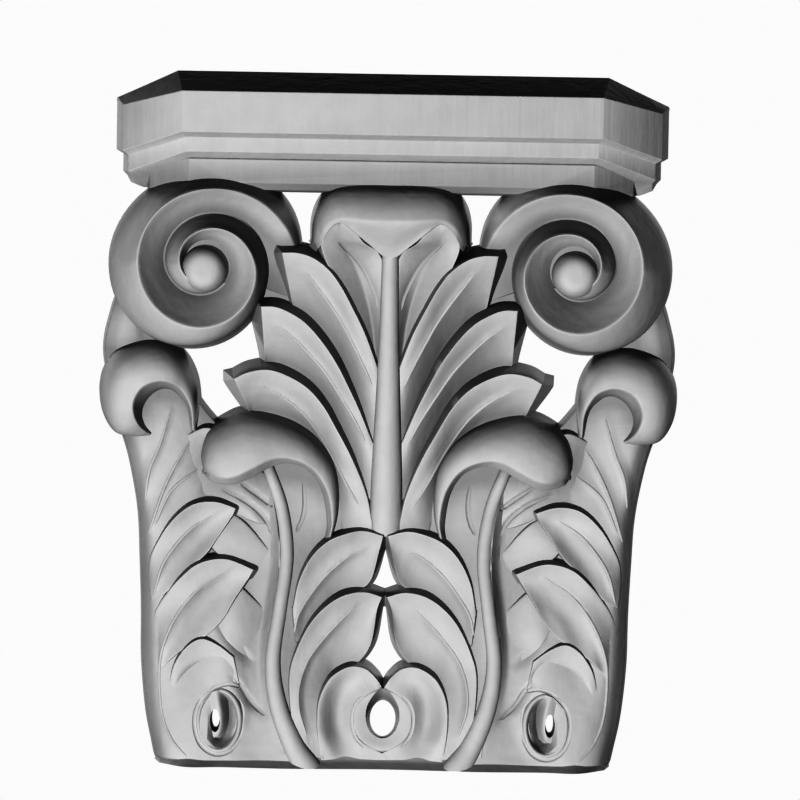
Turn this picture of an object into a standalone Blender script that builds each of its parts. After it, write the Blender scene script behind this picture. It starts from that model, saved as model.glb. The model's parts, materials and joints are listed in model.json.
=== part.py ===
"""Carved pilaster capital in relief: one cast piece with a flat back.

Units are metres, +Z is up and the carved front looks along -Y. The origin is
at the centre of the flat underside. Lengths in the plans below are written in
millimetres (MM turns them into metres). A plan point is (x, z, h): x to the
right of the centre line, z above the base strip, and h how far the surface
stands in front of the flat back. The plans give the left half of the capital,
and every form is mirrored to the right.
"""
import math

import bmesh
import bpy
from mathutils import Vector

MM = 0.001

# Driving dimensions
DEPTH = 52.0            # back plane to the front of the rolled tip
BASE_STRIP = 2.5        # plain strip under the carving
RUN_BACK = 3.0          # every form runs this far behind the back plane, which cuts it
DRAFT = 0.21            # walls lean out by this much of their height


# ------------------------------------------------------------- small helpers
def clear_scene():
    for thing in list(bpy.data.objects):
        bpy.data.objects.remove(thing, do_unlink=True)


def plaster_material():
    material = bpy.data.materials.new("cast plaster")
    material.use_nodes = True
    shader = material.node_tree.nodes["Principled BSDF"]
    shader.inputs["Base Color"].default_value = (0.42, 0.42, 0.42, 1.0)
    shader.inputs["Roughness"].default_value = 0.85
    shader.inputs["Metallic"].default_value = 0.0
    return material


def placed(x, z, h):
    """A plan point as a position in metres; the plans are drawn a touch high near the foot."""
    low = max(0.0, 1.0 - z / 200.0)
    return Vector((x, DEPTH / 2 - h, z + BASE_STRIP - 1.3 * low * low)) * MM


def curve_value(values, position):
    """Catmull-Rom curve through values at 0, 1, 2 ... read at position."""
    last = len(values) - 1
    start = min(max(int(position), 0), last - 1)
    t = position - start
    p1, p2 = values[start], values[start + 1]
    p0 = values[start - 1] if start > 0 else 2 * p1 - p2
    p3 = values[start + 2] if start + 2 <= last else 2 * p2 - p1
    return 0.5 * (2 * p1 + (p2 - p0) * t + (2 * p0 - 5 * p1 + 4 * p2 - p3) * t ** 2
                  + (3 * p1 - p0 - 3 * p2 + p3) * t ** 3)


# ------------------------------------------------------ sections across a form
# A section is a list of (s, a, k): at s of the way across, the height is a of
# the way from the first edge's height to the second's, plus k of the bulge.
def section(steps, ease, power=1.0):
    rows = []
    for i in range(steps + 1):
        s = (i / steps) ** power
        rows.append((s, ease(s), math.sin(math.pi * s)))
    return rows


def even(s):
    return s


def scooped(s):
    """Gentle at the rim, steepest half way and easing off towards the far edge."""
    return (0.6 * s + 1.5 * s ** 2 - 0.967 * s ** 3) / 1.133


def rounded(s):
    """A full quarter round that starts upright and ends level."""
    return max(0.0, 1.0 - (1.0 - s) ** 2.5) ** 0.4


def shouldered(s):
    """Between a quarter round and a straight slope."""
    return 0.55 * rounded(s) + 0.45 * s


def nosed(s):
    """Nearly a quarter round."""
    return 0.8 * rounded(s) + 0.2 * s


SCOOP = section(3, scooped)
SPOON = section(3, even)
SWEEP = section(2, even)
QUARTER = section(4, rounded, 1.8)
NOSE = section(3, nosed, 1.4)
SHOULDER = section(3, shouldered, 1.3)
FACE = section(1, even)
DISH = section(2, even)
ROUND = section(4, even)


def across_row(values, sections):
    """One row of plan points across a form."""
    bulge = values[-1] if len(values) % 3 else 0.0
    row = []
    for gap, steps in enumerate(sections):
        x0, z0, h0 = values[3 * gap:3 * gap + 3]
        x1, z1, h1 = values[3 * gap + 3:3 * gap + 6]
        for s, a, k in steps[1 if gap else 0:]:
            lift = bulge * k if gap == 0 else 0.0
            row.append((x0 + (x1 - x0) * s, z0 + (z1 - z0) * s, h0 + (h1 - h0) * a + lift))
    return row


# ----------------------------------------------------------------- solids
def loop_area(loop):
    return 0.5 * sum(a[0] * b[1] - b[0] * a[1] for a, b in zip(loop, loop[1:] + loop[:1]))


def outward(loop, i):
    """The outward direction in plan at point i of a counterclockwise loop."""
    before, here, after = loop[i - 1], loop[i], loop[(i + 1) % len(loop)]
    total = Vector((0.0, 0.0))
    for a, b in ((before, here), (here, after)):
        edge = Vector((b[0] - a[0], b[1] - a[1]))
        if edge.length > 1e-6:
            total += Vector((edge.y, -edge.x)).normalized()
    return total.normalized() if total.length > 1e-6 else Vector((1.0, 0.0))


def finished_mesh(name, mesh):
    bmesh.ops.triangulate(mesh, faces=mesh.faces[:])
    bmesh.ops.recalc_face_normals(mesh, faces=mesh.faces[:])
    data = bpy.data.meshes.new(name)
    mesh.to_mesh(data)
    mesh.free()
    return data


def column_solid(name, points, faces, boundary, drafts, depth_behind):
    """A closed solid: a carved front, walls with draft, and a flat back.

    boundary holds the front's border points in order, and drafts the lean of
    the wall under each of them.
    """
    loop = [points[i] for i in boundary]
    if loop_area(loop) < 0:
        boundary, loop, drafts = boundary[::-1], loop[::-1], drafts[::-1]
    lean = {}
    for i, (point, draft) in enumerate(zip(loop, drafts)):
        lean[boundary[i]] = outward(loop, i) * draft * (point[2] + depth_behind)
    mesh = bmesh.new()
    front, back = [], []
    for i, (x, z, h) in enumerate(points):
        front.append(mesh.verts.new(placed(x, z, h)))
        step = lean.get(i, Vector((0.0, 0.0)))
        back.append(mesh.verts.new(placed(x + step.x, z + step.y, -depth_behind)))
    for face in faces:
        mesh.faces.new([front[i] for i in face])
        mesh.faces.new([back[i] for i in reversed(face)])
    for i in range(len(boundary)):
        a, b = boundary[i], boundary[(i + 1) % len(boundary)]
        mesh.faces.new((front[a], front[b], back[b], back[a]))
    return finished_mesh(name, mesh)


def strip_solid(name, stations, sections, depth_behind, factors=(1.0, 1.0, 1.0, 1.0)):
    """A column solid over the stations.

    factors scale the draft of the first edge, the second edge, the root and the tip.
    """
    rows = [across_row(station, sections) for station in stations]
    across = len(rows[0])
    points = [point for row in rows for point in row]
    faces = []
    for j in range(len(rows) - 1):
        for i in range(across - 1):
            a = j * across + i
            faces.append((a, a + 1, a + across + 1, a + across))
    last = (len(rows) - 1) * across
    sides = [
        ([i for i in range(across)], factors[2]),
        ([j * across + across - 1 for j in range(1, len(rows))], factors[1]),
        ([last + i for i in range(across - 2, -1, -1)], factors[3]),
        ([j * across for j in range(len(rows) - 2, 0, -1)], factors[0]),
    ]
    boundary, drafts = [], []
    for side, factor in sides:
        boundary += side
        drafts += [DRAFT * factor] * len(side)
    return column_solid(name, points, faces, boundary, drafts, depth_behind)


def rod_stations(axis):
    """Stations of a half-round rod from its axis, given as (x, z, h, half width)."""
    stations = []
    for i, (x, z, h, width) in enumerate(axis):
        before, after = axis[max(i - 1, 0)], axis[min(i + 1, len(axis) - 1)]
        along = Vector((after[0] - before[0], after[1] - before[1])).normalized()
        side = Vector((-along.y, along.x)) * width
        stations.append((x + side.x, z + side.y, h, x - side.x, z - side.y, h, width))
    return stations


def mirrored_stations(stations):
    """Add the right half to a form that crosses the centre line."""
    right = []
    for station in stations[-2::-1]:
        flipped = list(station)
        for i in range(0, len(station), 3):
            flipped[i] = -flipped[i]
        right.append(tuple(flipped))
    return stations + right


# ----------------------------------------------------------------- plans
# Each station is (x, z, h) at every edge, from the root to the tip. A last
# single number is the bulge between the edges, negative where it is hollow.
# The last tuple of a form scales the draft of its four sides.
FORMS = {
    "bell": ([FACE, SWEEP, SWEEP, SWEEP, SWEEP], [
        (-114, 1.5, 8, -107, 1.5, 19, -94, 1.5, 24, -78, 1.5, 23, -66, 1.5, 23, -42, 1.5, 24),
        (-115.5, 8, 7.5, -108, 8, 19, -94, 8, 24, -78, 8, 22.5, -66, 8, 21, -46, 8, 23.5),
        (-119, 25, 7, -110.5, 25, 18, -96, 25, 23, -74, 25, 22, -64, 25, 18, -52, 25, 21),
        (-121.5, 50, 6.5, -113, 50, 17, -98, 50, 19, -80, 50, 23, -68, 50, 18, -57, 50, 15),
        (-122, 75, 6, -114, 75, 16, -98, 75, 17, -80, 75, 18, -66, 75, 13, -55, 75, 15),
        (-123, 100, 6, -115, 100, 15.5, -100, 100, 16, -84, 100, 11.5, -68, 100, 11.5, -52, 100, 14),
        (-124.5, 125, 6, -117, 125, 15, -102, 125, 15, -86, 125, 13.5, -70, 125, 13, -54, 125, 14),
        (-129, 150, 7, -121, 150, 15, -108, 150, 15, -93, 150, 12, -78, 150, 10, -62, 150, 12),
        (-134, 167, 8, -126, 167, 15, -114, 167, 15, -104, 167, 13, -94, 167, 11, -84, 167, 10),
        (-139, 185, 8, -131, 185, 14, -121, 185, 14, -113, 185, 13, -106, 185, 12, -99, 185, 10),
        (-142.5, 206, 8, -135, 206, 13, -127, 206, 14, -121, 206, 13, -116, 206, 12, -112, 206, 10),
        (-139, 225, 8, -133, 225, 12, -128, 225, 13, -124.5, 225, 12, -121, 225, 12, -118, 225, 10),
        (-132, 246, 8, -127, 246, 11, -121, 246, 12, -116, 246, 11, -112, 246, 11, -108, 246, 10)]),
    "middle field": ([SPOON], [
        (-50, 5, 24, -12, 5, 16, -2), (-54, 40, 22.5, -12, 40, 10, -3), (-53, 75, 21, -12, 75, 8, -3),
        (-50, 108, 15, -6, 104, 9, -2), (-58, 130, 12, -8, 125, 10, 0), (-64, 152, 11, -14, 146, 10, 0)]),
    "upper field": ([SPOON], [
        (-60, 215, 8, -20, 215, 8, 0), (-65, 226, 8, -20, 226, 8, 0), (-66, 237, 8, -20, 240, 8, 0),
        (-60, 248, 8, -20, 250, 8, 0), (-54, 255, 8, -20, 257, 8, 0)]),
    "first lobe": ([SCOOP], [
        (-7, 122, 17, -7, 110, 15, 0), (-10, 136, 19, -20, 114, 12, 0),
        (-17, 153, 24, -25, 130, 9, 0), (-25, 168, 28, -29, 145, 7, 0),
        (-32, 180, 31, -36, 157, 7, 0), (-40, 189, 33, -45, 165, 7, 0),
        (-50, 195, 34, -54, 169, 8, 0), (-60, 198, 35, -62, 171, 9, 0),
        (-70, 196.5, 35, -66.5, 172.5, 12, 0), (-77, 193, 34, -68.5, 174, 16, 0)],
        (0.55, 1.0, 1.0, 1.0)),
    "second lobe": ([SCOOP], [
        (-6.5, 160, 20, -6, 130, 16, 0), (-9, 166, 22, -11, 136, 13, 0),
        (-14, 178, 26, -18, 152, 9, 0), (-20, 190.5, 30, -26, 167, 7, 0),
        (-26, 202, 33, -34, 179, 6, 0), (-34, 213.5, 35, -42, 187, 6, 0),
        (-42, 222, 36, -51, 194, 7, 0), (-50, 227, 36, -57, 197, 9, 0),
        (-57, 229.5, 36, -60.5, 199, 12, 0), (-64, 229.5, 35, -62, 201, 15, 0)],
        (0.55, 1.0, 1.0, 1.0)),
    "third lobe": ([SCOOP], [
        (-5, 198, 25, -5, 158, 19, 0), (-7, 204, 27, -9, 163, 16, 0),
        (-12, 217, 31, -15, 176, 11, 0), (-18, 229, 34, -21, 189, 8, 0),
        (-24, 240, 36, -28, 202, 7, 0), (-30, 248, 37, -36, 212, 7, 0),
        (-38, 254, 37, -43, 220, 8, 0), (-46, 256.5, 37, -47, 226, 11, 0),
        (-54, 256.5, 36, -49, 230, 14, 0)],
        (0.55, 1.0, 1.0, 1.0)),
    "fourth lobe": ([FACE, SWEEP], [
        (-9, 208, 21, -7, 206, 18, -2, 196, 26), (-17, 222, 24, -9, 222, 17, -2, 214, 27),
        (-26, 240, 27, -13, 238, 17.5, -2, 234, 28), (-32, 252, 31, -18, 250, 21, -3, 249, 29.5),
        (-34.5, 261, 35, -23, 259, 27, -6, 257, 32), (-31, 269, 40, -25, 264, 33, -14, 263, 36),
        (-27, 274, 43, -25.5, 270, 39, -19, 273, 40), (-25, 279, 42, -23, 277, 40, -16, 278, 40)],
        (0.5, 1.0, 1.0, 1.0)),
    "curled leaf": ([QUARTER, FACE], [
        (-27, 112, 10, -28.5, 112, 18, -30.5, 112, 13), (-24, 125, 10, -27, 122, 21, -29.5, 120, 14),
        (-24, 140, 10, -29, 135, 25, -31.5, 134, 16), (-27, 152, 9, -34, 145, 30, -36, 143.5, 20),
        (-35, 163, 8, -40.5, 151, 35, -42, 148.8, 25), (-46, 170.5, 7, -49, 154, 38, -49.5, 151, 29),
        (-59, 175, 6, -57, 153.8, 40, -57, 149.5, 31), (-72, 176.5, 6, -66, 149.5, 42, -65.5, 145, 33),
        (-82, 172.5, 6, -74, 145.5, 42, -74, 141, 33), (-90, 166, 6, -81, 144, 40, -81.5, 140.3, 32),
        (-93.5, 155, 6, -87, 145, 35, -88.5, 142, 28), (-92.5, 147, 6, -90, 145.5, 28, -91, 144, 22)],
        (1.0, 0.3, 1.0, 1.0)),
    "side lobe high": ([SPOON], [
        (-119, 92, 12, -117, 80, 14, 0), (-117.5, 103, 16, -110, 84, 19, -1),
        (-112, 114, 20, -102, 92, 20, -3), (-106, 122, 23, -95, 99, 20, -5),
        (-99, 128, 24, -89, 105, 20, -6), (-92, 130.5, 24, -85, 111, 20, -5),
        (-84, 130.5, 24, -81, 117, 20, -3), (-75, 127.5, 22, -76.5, 124, 21, 0)],
        (0.8, 0.55, 1.0, 1.0)),
    "side lobe low": ([SPOON], [
        (-117, 62, 12, -112, 45, 16, 0), (-115, 75, 16, -106, 52, 22, -1),
        (-108, 86, 21, -98, 58, 22, -2), (-102, 93, 25, -91, 62, 22, -4),
        (-95, 99, 26, -85, 67, 22, -6), (-87, 102, 26, -80, 73, 22, -6),
        (-78, 102, 25, -75, 82, 22, -4), (-65.5, 97, 23, -68.5, 92, 21, 0)],
        (0.8, 0.55, 1.0, 1.0)),
    "bottom curl": ([SPOON], [
        (-108, 30, 17, -94, 16, 21, 1), (-107, 42, 20, -94, 26, 21, 0),
        (-104, 51, 23.5, -92, 34, 22, -2), (-98, 59, 26, -88, 39, 22, -3),
        (-91, 62.5, 27, -81, 40, 22, -3), (-83, 59.5, 26, -76, 41, 22, -2),
        (-75, 53.5, 24, -72, 39, 22, 0)],
        (0.6, 1.0, 1.0, 0.3)),
    "back lobe low": ([SPOON], [
        (-62, 46, 12, -56, 70, 12, 0), (-69.5, 51, 16, -61, 77, 13, 1),
        (-76, 57.5, 19.5, -66, 82, 14.5, 1.5),
        (-81, 64, 20.5, -70.5, 86.2, 16, 2), (-85.5, 72, 19, -76, 90, 16, 2),
        (-90, 82, 15, -84, 97, 13, 1)],
        (1.2, 0.8, 1.0, 1.0)),
    "back lobe high": ([SPOON], [
        (-64, 93, 11, -55, 103, 12, 0), (-74, 99, 14, -60.5, 108.5, 13, 1),
        (-82, 102.5, 16, -66, 115, 14, 1.5), (-87, 107, 17, -72.5, 121.3, 15.5, 2),
        (-91, 113, 15.5, -80, 125.5, 15.5, 2), (-96, 121, 13, -89, 129, 13, 1)],
        (1.2, 0.8, 1.0, 1.0)),
    "back leaf": ([SPOON], [
        (-101, 163, 12.5, -97, 131, 11.5, 0), (-88, 167, 19.5, -85, 128, 12, 1),
        (-70, 152, 16, -66, 120, 14, 2),
        (-56, 140, 14, -53, 118, 14, 0)]),
    "first paw": ([SPOON], [
        (-46, 78, 20, -44, 60, 19, 0), (-43, 92, 23, -38, 66, 15, -1),
        (-37, 104, 25, -30, 76, 12, -2), (-29, 112, 26, -22, 82, 10, -3),
        (-20, 116, 26, -14, 86, 12, -5), (-11, 117.5, 24, -7, 92, 16, -4), (-1, 115, 22, -2.5, 109, 20, 0)],
        (0.5, 0.8, 1.0, 1.0)),
    "second paw": ([SPOON], [
        (-42, 6, 24, -29, 3, 22, 0), (-46, 25, 24, -29, 16, 21.5, -0.5),
        (-47, 45, 24, -29, 27, 19, -1.5), (-43.5, 58, 24.5, -29, 35, 16, -2),
        (-37, 71, 26, -30, 40, 12, -2), (-29, 80, 27, -22, 45, 11, -3),
        (-20, 85.5, 27, -14, 49, 13, -5), (-10, 87, 25, -6.5, 60, 17, -4),
        (-1, 84.5, 23, -3.5, 79, 20, 0)],
        (0.5, 0.8, 1.0, 1.0)),
    "third paw": ([SPOON], [
        (-30.5, 1.5, 24, 3, 1.5, 19, -1), (-31.5, 8, 25, 2, 5, 20, -1),
        (-32.5, 16, 26, -9, 11, 21, -1), (-32.8, 24, 26.5, -13.5, 16.5, 22, -1),
        (-32.2, 32, 26.5, -14.5, 22, 22.5, -1), (-29.5, 39.5, 26.5, -13.8, 28.5, 22.5, -1),
        (-25, 45.5, 26.5, -10.5, 33, 22.5, -1), (-17, 49.8, 26, -6.5, 36, 22.5, -1),
        (-9.5, 49, 25, -3.5, 37.5, 22, -0.5), (-4, 44.5, 23.5, -1.5, 38, 21.5, 0),
        (-0.8, 39.8, 22, -0.5, 38.3, 20.5, 0)],
        (0.35, 0.3, 1.0, 0.3)),
    "side tongue": ([SWEEP, SWEEP], [
        (-89.5, 34, 22, -84, 36.5, 25, -77.5, 38, 22), (-90.3, 29.5, 20.5, -82.5, 32, 25, -77, 32.5, 14),
        (-90.2, 24, 20, -81.3, 26, 24.5, -76, 26, 12), (-89.4, 19, 19.5, -81, 20, 23.5, -76.3, 19.5, 12),
        (-87.5, 14.3, 19, -82, 15, 21, -78, 14.7, 14), (-85.5, 12, 19, -83.5, 12.3, 19, -81.5, 12, 18)]),
    "ball scroll": ([QUARTER, FACE], [
        (-95.5, 166, 8, -97.5, 166, 20, -98.5, 165, 14), (-94.5, 180, 6, -98.5, 178, 31, -101, 178, 16),
        (-97, 195, 5, -103, 187, 37, -106, 184, 16), (-105, 206.5, 5, -108, 190.5, 41, -109.5, 186, 16),
        (-120, 211, 5, -113.5, 191.5, 42, -113.5, 186, 16), (-136, 206, 5, -119, 190, 42, -117.5, 184, 16),
        (-143, 196, 5, -123, 187, 41, -120.5, 181, 16), (-145, 185, 5, -126, 181, 39, -122.5, 177, 15),
        (-143, 173, 6, -126, 175, 36, -123, 173, 15), (-137, 164, 8, -124, 169.5, 31, -122, 169, 15),
        (-128, 162, 10, -121, 165.5, 24, -120, 166, 15),
        (-119.5, 162.5, 13, -118.5, 163.5, 17, -118, 164, 15)],
        (0.6, 0.3, 1.0, 1.0)),
}

# Forms that cross the centre line, left half
BASE_FIELD = [
    (-111.8, -2.5, 16, -112.2, 2.1, 11, -112.6, 6, 7), (-98, -2.5, 32, -98, 2.1, 23, -98, 7, 17),
    (-80, -2.5, 30, -80, 2.1, 21.5, -80, 7, 15), (-50, -2.5, 32, -50, 2.1, 23, -50, 7, 17),
    (-28, -2.5, 30, -28, 2.1, 21.5, -28, 12, 12), (0, -2.5, 28, 0, 2.1, 19.5, 0, 12, 12)]
TIP_ROLL = [
    (-39.5, 262, 12, -37.5, 261, 28, -36.5, 258, 27), (-39, 272, 14, -35.5, 266, 35, -34.7, 260, 33),
    (-36.5, 280, 17, -32, 270.5, 42, -31, 267.5, 40.5), (-31, 286.5, 20, -26, 274, 47, -25, 272, 46),
    (-23, 289.5, 22, -18, 274, 50, -18, 267.5, 45.5), (-12, 290.5, 23, -10, 273.5, 51.5, -11, 261.5, 41),
    (0, 290.5, 23, 0, 273.5, 52, 0, 254, 36)]

# Radii and heights of the volute's spiral every 45 degrees, counterclockwise from the right
VOLUTE_CENTRE = (-92.0, 250.0)
VOLUTE_STEP = 22.5      # degrees between two spokes
VOLUTE_START, VOLUTE_END = -22.5, 630.0
CREST_RADII = (46, 41.5, 37.5, 35, 33, 32, 31, 28.5, 25.5, 21.5, 17.7, 14.5, 11.7, 10.0, 8.5)
VALLEY_RADII = (47, 49.5, 45, 46, 49, 48, 40.5, 34, 30, 27.5, 24.5, 22, 20, 17.3, 15,
                13.2, 12.5, 12.3, 12, 11, 9.5, 7.5, 6)
CREST_HEIGHTS = (10, 31, 44, 45, 46, 47, 48, 48.5, 48.5, 47.5, 47, 48, 48.5, 47, 43)
VALLEY_HEIGHTS = (4, 12, 24, 12, 7, 10, 26, 20, 12, 18, 25, 27, 28, 28, 28, 30, 32, 33, 34, 35, 36, 38, 40)

# Rods: (x, z, h, half width) along the axis
STEM = [
    (-33, -9, 22, 7.4), (-37.5, -1, 22, 6.8), (-44.5, 10, 22, 5.6), (-52.5, 30, 23.5, 4.6),
    (-55.5, 52, 23.5, 3.9),
    (-52.3, 78, 22, 3.5), (-49.5, 104, 18.5, 3.6), (-52.5, 128, 16.5, 3.4), (-59.5, 148, 17, 3.0)]
MIDRIB = [
    (0, 116, 10.5, 8.4), (0, 128, 13, 8.2), (0, 150, 18, 7.6), (0, 182, 23.3, 6.2), (0, 215, 28, 5.0),
    (0, 262, 33, 4.0)]

# Abacus: each ring is (x, z) at the end's back, then (x, h, z) at the end corner and at the front corner
ABACUS_SLAB = [
    ((138.5, 333.8), (138, 4, 333.8), (108, 5, 347.8)),
    ((138.5, 331.8), (135, 12.5, 330.4), (104.5, 36, 338.4)),
    ((138.5, 308.0), (135, 12.5, 307.4), (104.5, 36, 318.0)),
    ((135.0, 306.0), (132, 10.5, 305.4), (102.5, 30.5, 315.3)),
    ((135.0, 297.0), (132, 10.5, 297.2), (102.5, 30.5, 308.2)),
    ((133.0, 295.0), (130.5, 8.5, 295.6), (101, 26, 305.6)),
    ((131.5, 291.5), (131, 0, 291.5), (124, 1, 289.0)),
]
LOWEST_MOULDING = [
    ((121.5, 303.0), (119, 9, 303.0), (100, 22, 306.5)),
    ((123.5, 301.0), (121, 11, 301.0), (101, 26, 304.5)),
    ((123.5, 289.5), (121, 11, 289.5), (101, 26, 292.9)),
    ((121.5, 287.5), (119, 7.5, 287.0), (98.5, 20, 289.3)),
]

# Round forms are rings about a centre, each (half width, half height, h),
# with the height of the centre first.
VOLUTE_EYE = ((VOLUTE_CENTRE[0], VOLUTE_CENTRE[1] - 2.0),
              (50.5, (5.0, 5.0, 49.7), (9.0, 9.0, 47.0), (11.0, 11.0, 42.0), (11.5, 11.5, 36.0)))
# Pierced eyes: centre, half width and half height at the back and at the front
CENTRE_EYE = ((0.0, 20.5), (6.2, 8.6), (0.0, 27.0), (9.6, 12.6), 3.5)
SIDE_EYE = ((-84.3, 20.5), (1.9, 5.0), (-84.0, 21.5), (2.6, 6.2), 0.0)
CENTRE_COLLAR = ((0.0, 22.5), (19.5, (6, 8, 19.5), (9, 11, 20), (12, 13, 20.5), (14.6, 14.8, 20.5),
                              (16, 16, 19)))
SIDE_COLLAR = ((-82.0, 21.5), (11.0, (4, 6, 12), (6.5, 10.5, 14), (8.0, 12.4, 19), (9.6, 14.2, 23.5),
                               (11.2, 15.8, 23.5), (12.5, 17, 20.5)))


# ----------------------------------------------------------------- round forms
def spiral_point(radii, heights, angle):
    position = max(angle / 45.0, 0.0)
    radius = curve_value(radii, position)
    height = curve_value(heights, position) + 6.0 * min(angle / 45.0, 0.0)
    turn = math.radians(angle)
    return (VOLUTE_CENTRE[0] + radius * math.cos(turn), VOLUTE_CENTRE[1] + radius * math.sin(turn), height)


def volute_solid(name, depth_behind):
    """A spiral ribbon whose turns share their valley lines."""
    spokes = int(round((VOLUTE_END - VOLUTE_START) / VOLUTE_STEP))
    per_turn = int(round(360.0 / VOLUTE_STEP))
    angles = [VOLUTE_START + j * VOLUTE_STEP for j in range(spokes + per_turn + 1)]
    points = [spiral_point(VALLEY_RADII, VALLEY_HEIGHTS, angle) for angle in angles]
    rows = []
    for j in range(spokes + 1):
        crest = spiral_point(CREST_RADII, CREST_HEIGHTS, angles[j])
        middle = across_row([*points[j], *crest, *points[j + per_turn]], [SHOULDER, DISH])[1:-1]
        start = len(points)
        points += middle
        rows.append([j] + list(range(start, len(points))) + [j + per_turn])
    faces = []
    for j in range(spokes):
        for i in range(len(rows[0]) - 1):
            faces.append((rows[j][i], rows[j][i + 1], rows[j + 1][i + 1], rows[j + 1][i]))
    points.append((VOLUTE_CENTRE[0], VOLUTE_CENTRE[1], 36.0))
    centre = len(points) - 1
    inside = list(range(spokes, spokes + per_turn + 1)) + rows[spokes][-2:0:-1]
    for i in range(len(inside)):
        faces.append((inside[i], inside[(i + 1) % len(inside)], centre))
    boundary = list(range(per_turn + 1)) + rows[0][-2:0:-1]
    return column_solid(name, points, faces, boundary, [0.12] * len(boundary), depth_behind)


def round_solid(name, centre, rings, depth_behind):
    """A solid of elliptical rings about a centre point; rings starts with the centre's height."""
    around = 16
    points = [(centre[0], centre[1], rings[0])]
    for half_width, half_height, h in rings[1:]:
        for i in range(around):
            turn = 2 * math.pi * i / around
            x = centre[0] + half_width * math.cos(turn)
            points.append((x, centre[1] + half_height * math.sin(turn), h))
    faces = [(0, 1 + i, 1 + (i + 1) % around) for i in range(around)]
    for ring in range(len(rings) - 2):
        for i in range(around):
            a = 1 + ring * around + i
            b = 1 + ring * around + (i + 1) % around
            faces.append((a, a + around, b + around, b))
    boundary = [1 + (len(rings) - 2) * around + i for i in range(around)]
    return column_solid(name, points, faces, boundary, [0.05] * around, depth_behind)


def moulding_solid(name, profile, depth_behind):
    """A moulded slab with canted ends, lofted through its arris lines."""
    mesh = bmesh.new()
    rings = []
    for (xb, zb), (xe, he, ze), (xf, hf, zf) in profile:
        behind = depth_behind * (xb - xe) / max(he, 1.0)
        line = [(-xb - behind, zb, -depth_behind), (-xe, ze, he), (-xf, zf, hf)]
        line += [(-x, z, h) for x, z, h in reversed(line)]
        rings.append([mesh.verts.new(placed(x, z - BASE_STRIP, h)) for x, z, h in line])
    for upper, lower in zip(rings, rings[1:]):
        for i in range(5):
            mesh.faces.new((upper[i], upper[i + 1], lower[i + 1], lower[i]))
    seat_x, seat_z = profile[0][2][0], profile[0][2][2]
    left = mesh.verts.new(placed(-seat_x, seat_z - BASE_STRIP, -depth_behind))
    right = mesh.verts.new(placed(seat_x, seat_z - BASE_STRIP, -depth_behind))
    top = rings[0]
    mesh.faces.new((top[0], top[1], top[2], left))
    mesh.faces.new((left, top[2], top[3], right))
    mesh.faces.new((right, top[3], top[4], top[5]))
    mesh.faces.new(rings[-1])
    mesh.faces.new([ring[0] for ring in reversed(rings)] + [left, right] + [ring[5] for ring in rings])
    return finished_mesh(name, mesh)


# ----------------------------------------------------------------- cutters
def box_mesh(name, low, high):
    mesh = bmesh.new()
    bmesh.ops.create_cube(mesh, size=1.0)
    for vert in mesh.verts:
        vert.co = Vector([(lo + hi) / 2 + c * (hi - lo) for lo, hi, c in zip(low, high, vert.co)])
    return finished_mesh(name, mesh)


def hole_mesh(name, back_centre, back_size, front_centre, front_size, peak):
    """A tapered elliptical plug that pierces the relief, wider in front and drawn up to a peak there."""
    mesh = bmesh.new()
    around = 20
    rings = []
    for s in (0.0, 1.0):
        h = -RUN_BACK - 2.0 + 34.0 * s
        ring = []
        for i in range(around):
            turn = 2 * math.pi * i / around
            x = back_centre[0] + (front_centre[0] - back_centre[0]) * s
            z = back_centre[1] + (front_centre[1] - back_centre[1]) * s
            width = back_size[0] + (front_size[0] - back_size[0]) * s
            height = back_size[1] + (front_size[1] - back_size[1]) * s
            z += height * math.sin(turn) + peak * s * max(0.0, math.sin(turn)) ** 8
            ring.append(mesh.verts.new(placed(x + width * math.cos(turn), z, h)))
        rings.append(ring)
    for i in range(around):
        j = (i + 1) % around
        mesh.faces.new((rings[0][i], rings[0][j], rings[1][j], rings[1][i]))
    mesh.faces.new(rings[0])
    mesh.faces.new(rings[1])
    return finished_mesh(name, mesh)


def mirrored_mesh(data):
    copy = data.copy()
    for vert in copy.vertices:
        vert.co.x = -vert.co.x
    copy.flip_normals()
    return copy


# ----------------------------------------------------------------- assembly
def add_guide(name, data, collection):
    guide = bpy.data.objects.new(name, data)
    guide.hide_render = True
    guide.display_type = "WIRE"
    collection.objects.link(guide)
    return guide


def add_pair(name, data, collection):
    add_guide(name + " left", data, collection)
    add_guide(name + " right", mirrored_mesh(data), collection)


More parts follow.
